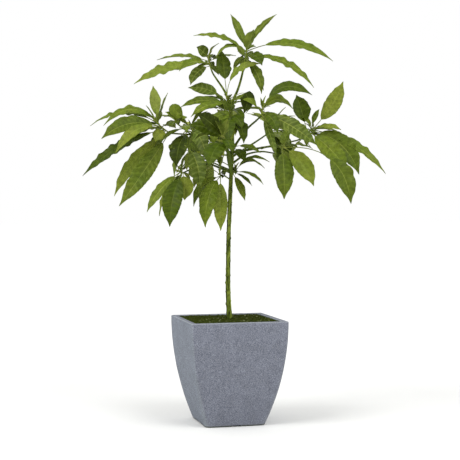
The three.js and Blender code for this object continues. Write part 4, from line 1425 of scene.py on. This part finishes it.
def vein_shades(nodes, vein, panel):
    """Shades of a blade: along and between its side veins, and from its midrib to its margins."""
    spread = nodes.node("ShaderNodeUVMap", uv_map="spread")
    parts = nodes.parts(spread.outputs["UV"])
    wobble = nodes.maths("MULTIPLY", nodes.noise(30, 2), VEIN_WOBBLE)
    wobble = nodes.maths("FRACT", nodes.maths("ADD", wobble, parts["Y"]))
    off = nodes.maths("ABSOLUTE", nodes.maths("ADD", wobble, -0.5))
    # for the greyish tone these pale vein stripes are painted sheen
    bands = nodes.ramp(off, (0.0, vein), (0.05, vein), (0.22, 1), (0.36, panel), (0.5, 1))
    aside = nodes.maths("ABSOLUTE", parts["X"])
    middle = nodes.ramp(aside, (0.0, (1.15, 1.13, 1.2)), (0.16, 1), (0.8, 1), (1.0, (0.86, 0.88, 0.86)))
    return bands, middle


def leaf_material(name, colour, roughness, mottle, veins=None):
    """A leaf's green, mottled, a little uneven in cast, and shaded by its veins if it shows them."""
    nodes = Nodes(name, colour, roughness, LEAF_GLOSS)
    dark, pale = scaled(colour, mottle.dark), scaled(colour, mottle.pale)
    tint = nodes.ramp(nodes.noise(mottle.scale, 5, 0.62), (0.32, dark), (0.5, colour), (0.68, pale))
    cast = nodes.ramp(nodes.noise(9, 2), (0.35, mottle.low_cast), (0.65, mottle.high_cast))
    shades = vein_shades(nodes, *veins) if veins else ()
    nodes.colour(nodes.shaded(tint, cast, *shades))
    nodes.bump(nodes.cells(420, "DISTANCE_TO_EDGE")["Distance"], 0.10, 0.0004)
    nodes.bump(nodes.noise(110, 3), 0.12, 0.001)
    return nodes.material


def bark_material(bark):
    """Streaked and speckled bark; the trunk's has painted shade on its left side."""
    nodes = Nodes(bark.name, bark.middle, BARK_ROUGH, LEAF_GLOSS)
    streaks = nodes.noise(bark.scale, 5, 0.6, (1, 1, bark.stretch))
    base = nodes.ramp(streaks, (0.37, bark.dark), (0.5, bark.middle), (0.64, bark.light))
    specks = nodes.ramp(nodes.noise(bark.specks, 3, 0.6, (1, 1, 0.5)), (0.36, (0.45, 0.45, 0.4)), (0.46, 1))
    # painted shade on the bark faces turned to the tree's left
    across = nodes.node("ShaderNodeVectorMath", operation="DOT_PRODUCT")
    nodes.feed(across.inputs[0], nodes.place("Normal"))
    across.inputs[1].default_value = (-math.cos(TREE_TURN), -math.sin(TREE_TURN), 0)
    painted_left_shade = nodes.ramp(across.outputs["Value"], (0.30, 1), (0.80, bark.left_side))
    nodes.colour(nodes.shaded(base, specks, painted_left_shade))
    nodes.roughness(streaks, 0.5, 0.75)
    nodes.bump(streaks, 0.5, 0.0012)
    nodes.bump(nodes.noise(500, 2), 0.25, 0.0005)
    return nodes.material


def planter_material():
    """Speckled stone, with a painted highlight on the rim and corners, painted shade under it, in its notches
    and at its foot, and painted light on its left.
    """
    nodes = Nodes("speckled_stone", STONE, 0.72, STONE_GLOSS)
    broad = nodes.ramp(nodes.noise(22, 2, 0.65), (0.34, scaled(STONE, 0.93)), (0.66, scaled(STONE, 1.08)))
    grain = nodes.noise(330, 3, 0.75)
    speckle = nodes.ramp(grain, (0.38, (0.50, 0.51, 0.53)), (0.5, 1), (0.62, (1.60, 1.58, 1.50)))
    body = nodes.shaded(broad, speckle)
    grit = nodes.cells(210)
    mark = nodes.ramp(grit["Distance"], (0.10, 1), (0.22, 0))
    for some, colour in ((((0.70, 0), (0.74, 1)), PALE_GRIT), (((0.22, 1), (0.27, 0)), DARK_GRIT)):
        body = nodes.mix(nodes.shaded(mark, nodes.ramp(grit["Color"], *some)), body, colour)
    facing, where = nodes.parts(nodes.place("Normal")), nodes.parts(nodes.place())
    x, y, z = (nodes.maths("ABSOLUTE", facing[axis]) for axis in "XYZ")
    # painted highlight along the rim and the corners, stronger on the corners towards the foot
    corner = nodes.ramp(nodes.maths("MULTIPLY", x, y), (0.15, 0), (0.45, 0.5))
    rim = nodes.ramp(z, (0.35, 0), (0.6, 1), (0.9, 1), (0.99, 0))
    highlight_by_height = nodes.ramp(where["Z"], (0.02, 1), (0.22, 0.45), (0.42, 0.5))
    edge_highlight = nodes.mix(1.0, nodes.shaded(corner, highlight_by_height), rim, "LIGHTEN")
    body = nodes.mix(nodes.maths("MULTIPLY", edge_highlight, EDGE_HIGHLIGHT_SHARE), body, EDGE_HIGHLIGHT_STONE)
    # painted shade: darker underneath the planter and inside its notches
    under = nodes.maths("MAXIMUM", *(nodes.maths("ABSOLUTE", where[axis]) for axis in "XY"))
    painted_underside_shade = nodes.ramp(under, (0.108, (0.12, 0.13, 0.08)), (0.118, 1))
    # painted shade: a dark band along the lowest few millimetres of the foot, where it meets the floor
    painted_foot_shade = nodes.ramp(where["Z"], (0.002, (0.10, 0.12, 0.05)), (0.0075, 1))
    # painted light: faces turned to the left are paler
    left = nodes.maths("MULTIPLY", facing["X"], -1)
    painted_left_light = nodes.ramp(left, (0.3, 1), (0.8, (1.06, 1.10, 1.07)))
    nodes.colour(nodes.shaded(body, painted_underside_shade, painted_foot_shade, painted_left_light))
    nodes.bump(grain, 0.35, 0.0012)
    nodes.bump(grit["Distance"], 0.15, 0.0008)
    return nodes.material


def soil_material(name, colour, light):
    nodes = Nodes(name, colour, SOIL_ROUGH, SOIL_GLOSS)
    grain = nodes.noise(160, 5, 0.7)
    nodes.colour(nodes.ramp(grain, (0.38, scaled(colour, 0.5)), (0.52, colour), (0.68, light)))
    nodes.bump(grain, 0.6, 0.002)
    return nodes.material


def make_materials():
    made = {"planter": planter_material()}
    for tone, (colour, *veins) in BLADE_COLOURS.items():
        name = f"leaf_{tone}"
        made[name] = leaf_material(name, colour, BLADE_ROUGH, BLADE_MOTTLE, veins)
    for key, (colour, roughness) in PLAIN_COLOURS.items():
        name = f"leaf_{key}" if key.startswith(("under", "rib")) else key
        made[key] = leaf_material(name, colour, roughness, PLAIN_MOTTLE)
    for key, bark in BARKS.items():
        made[key] = bark_material(bark)
    for key, soil in SOILS.items():
        made[key] = soil_material(*soil)
    return made


# ---------- floor and light ----------

WORLD_STRENGTH = 1.0
FLOOR_COLOUR = (0.700, 0.702, 0.690)
FLOOR_HALF = 40.0
FLOOR_BELOW = 0.0005
SUNS = (  # name, bearing it shines from, height, width in degrees, strength
    ("left_box", -144, 43, 32, 1.66),
    ("right_box", -48, 43, 32, 1.25),
)


def make_stage():
    mesh = bpy.data.meshes.new("floor")
    corners = [(x * FLOOR_HALF, y * FLOOR_HALF, 0) for x, y in ((-1, -1), (1, -1), (1, 1), (-1, 1))]
    mesh.from_pydata(corners, [], [(0, 1, 2, 3)])
    mesh.materials.append(Nodes("floor", FLOOR_COLOUR, 1.0, 0).material)
    floor = bpy.data.objects.new("floor", mesh)
    floor.location.z = -FLOOR_BELOW
    bpy.context.collection.objects.link(floor)
    world = bpy.data.worlds.new("studio")
    world.use_nodes = True
    background = world.node_tree.nodes["Background"]
    background.inputs["Color"].default_value = (1.0, 1.0, 1.0, 1)
    background.inputs["Strength"].default_value = WORLD_STRENGTH
    bpy.context.scene.world = world
    bpy.context.scene.view_settings.view_transform = "Standard"
    for name, bearing, height, width, strength in SUNS:
        data = bpy.data.lights.new(name, "SUN")
        data.angle = math.radians(width)
        data.energy = strength
        lamp = bpy.data.objects.new(name, data)
        lamp.rotation_euler = (math.radians(90 - height), 0, math.radians(bearing + 90) + TREE_TURN)
        lamp.location = (0, 0, 4)
        bpy.context.collection.objects.link(lamp)


materials = make_materials()
make_planter(materials)
make_soil(materials)
make_crumbs(materials)
make_plant(materials)
make_stage()
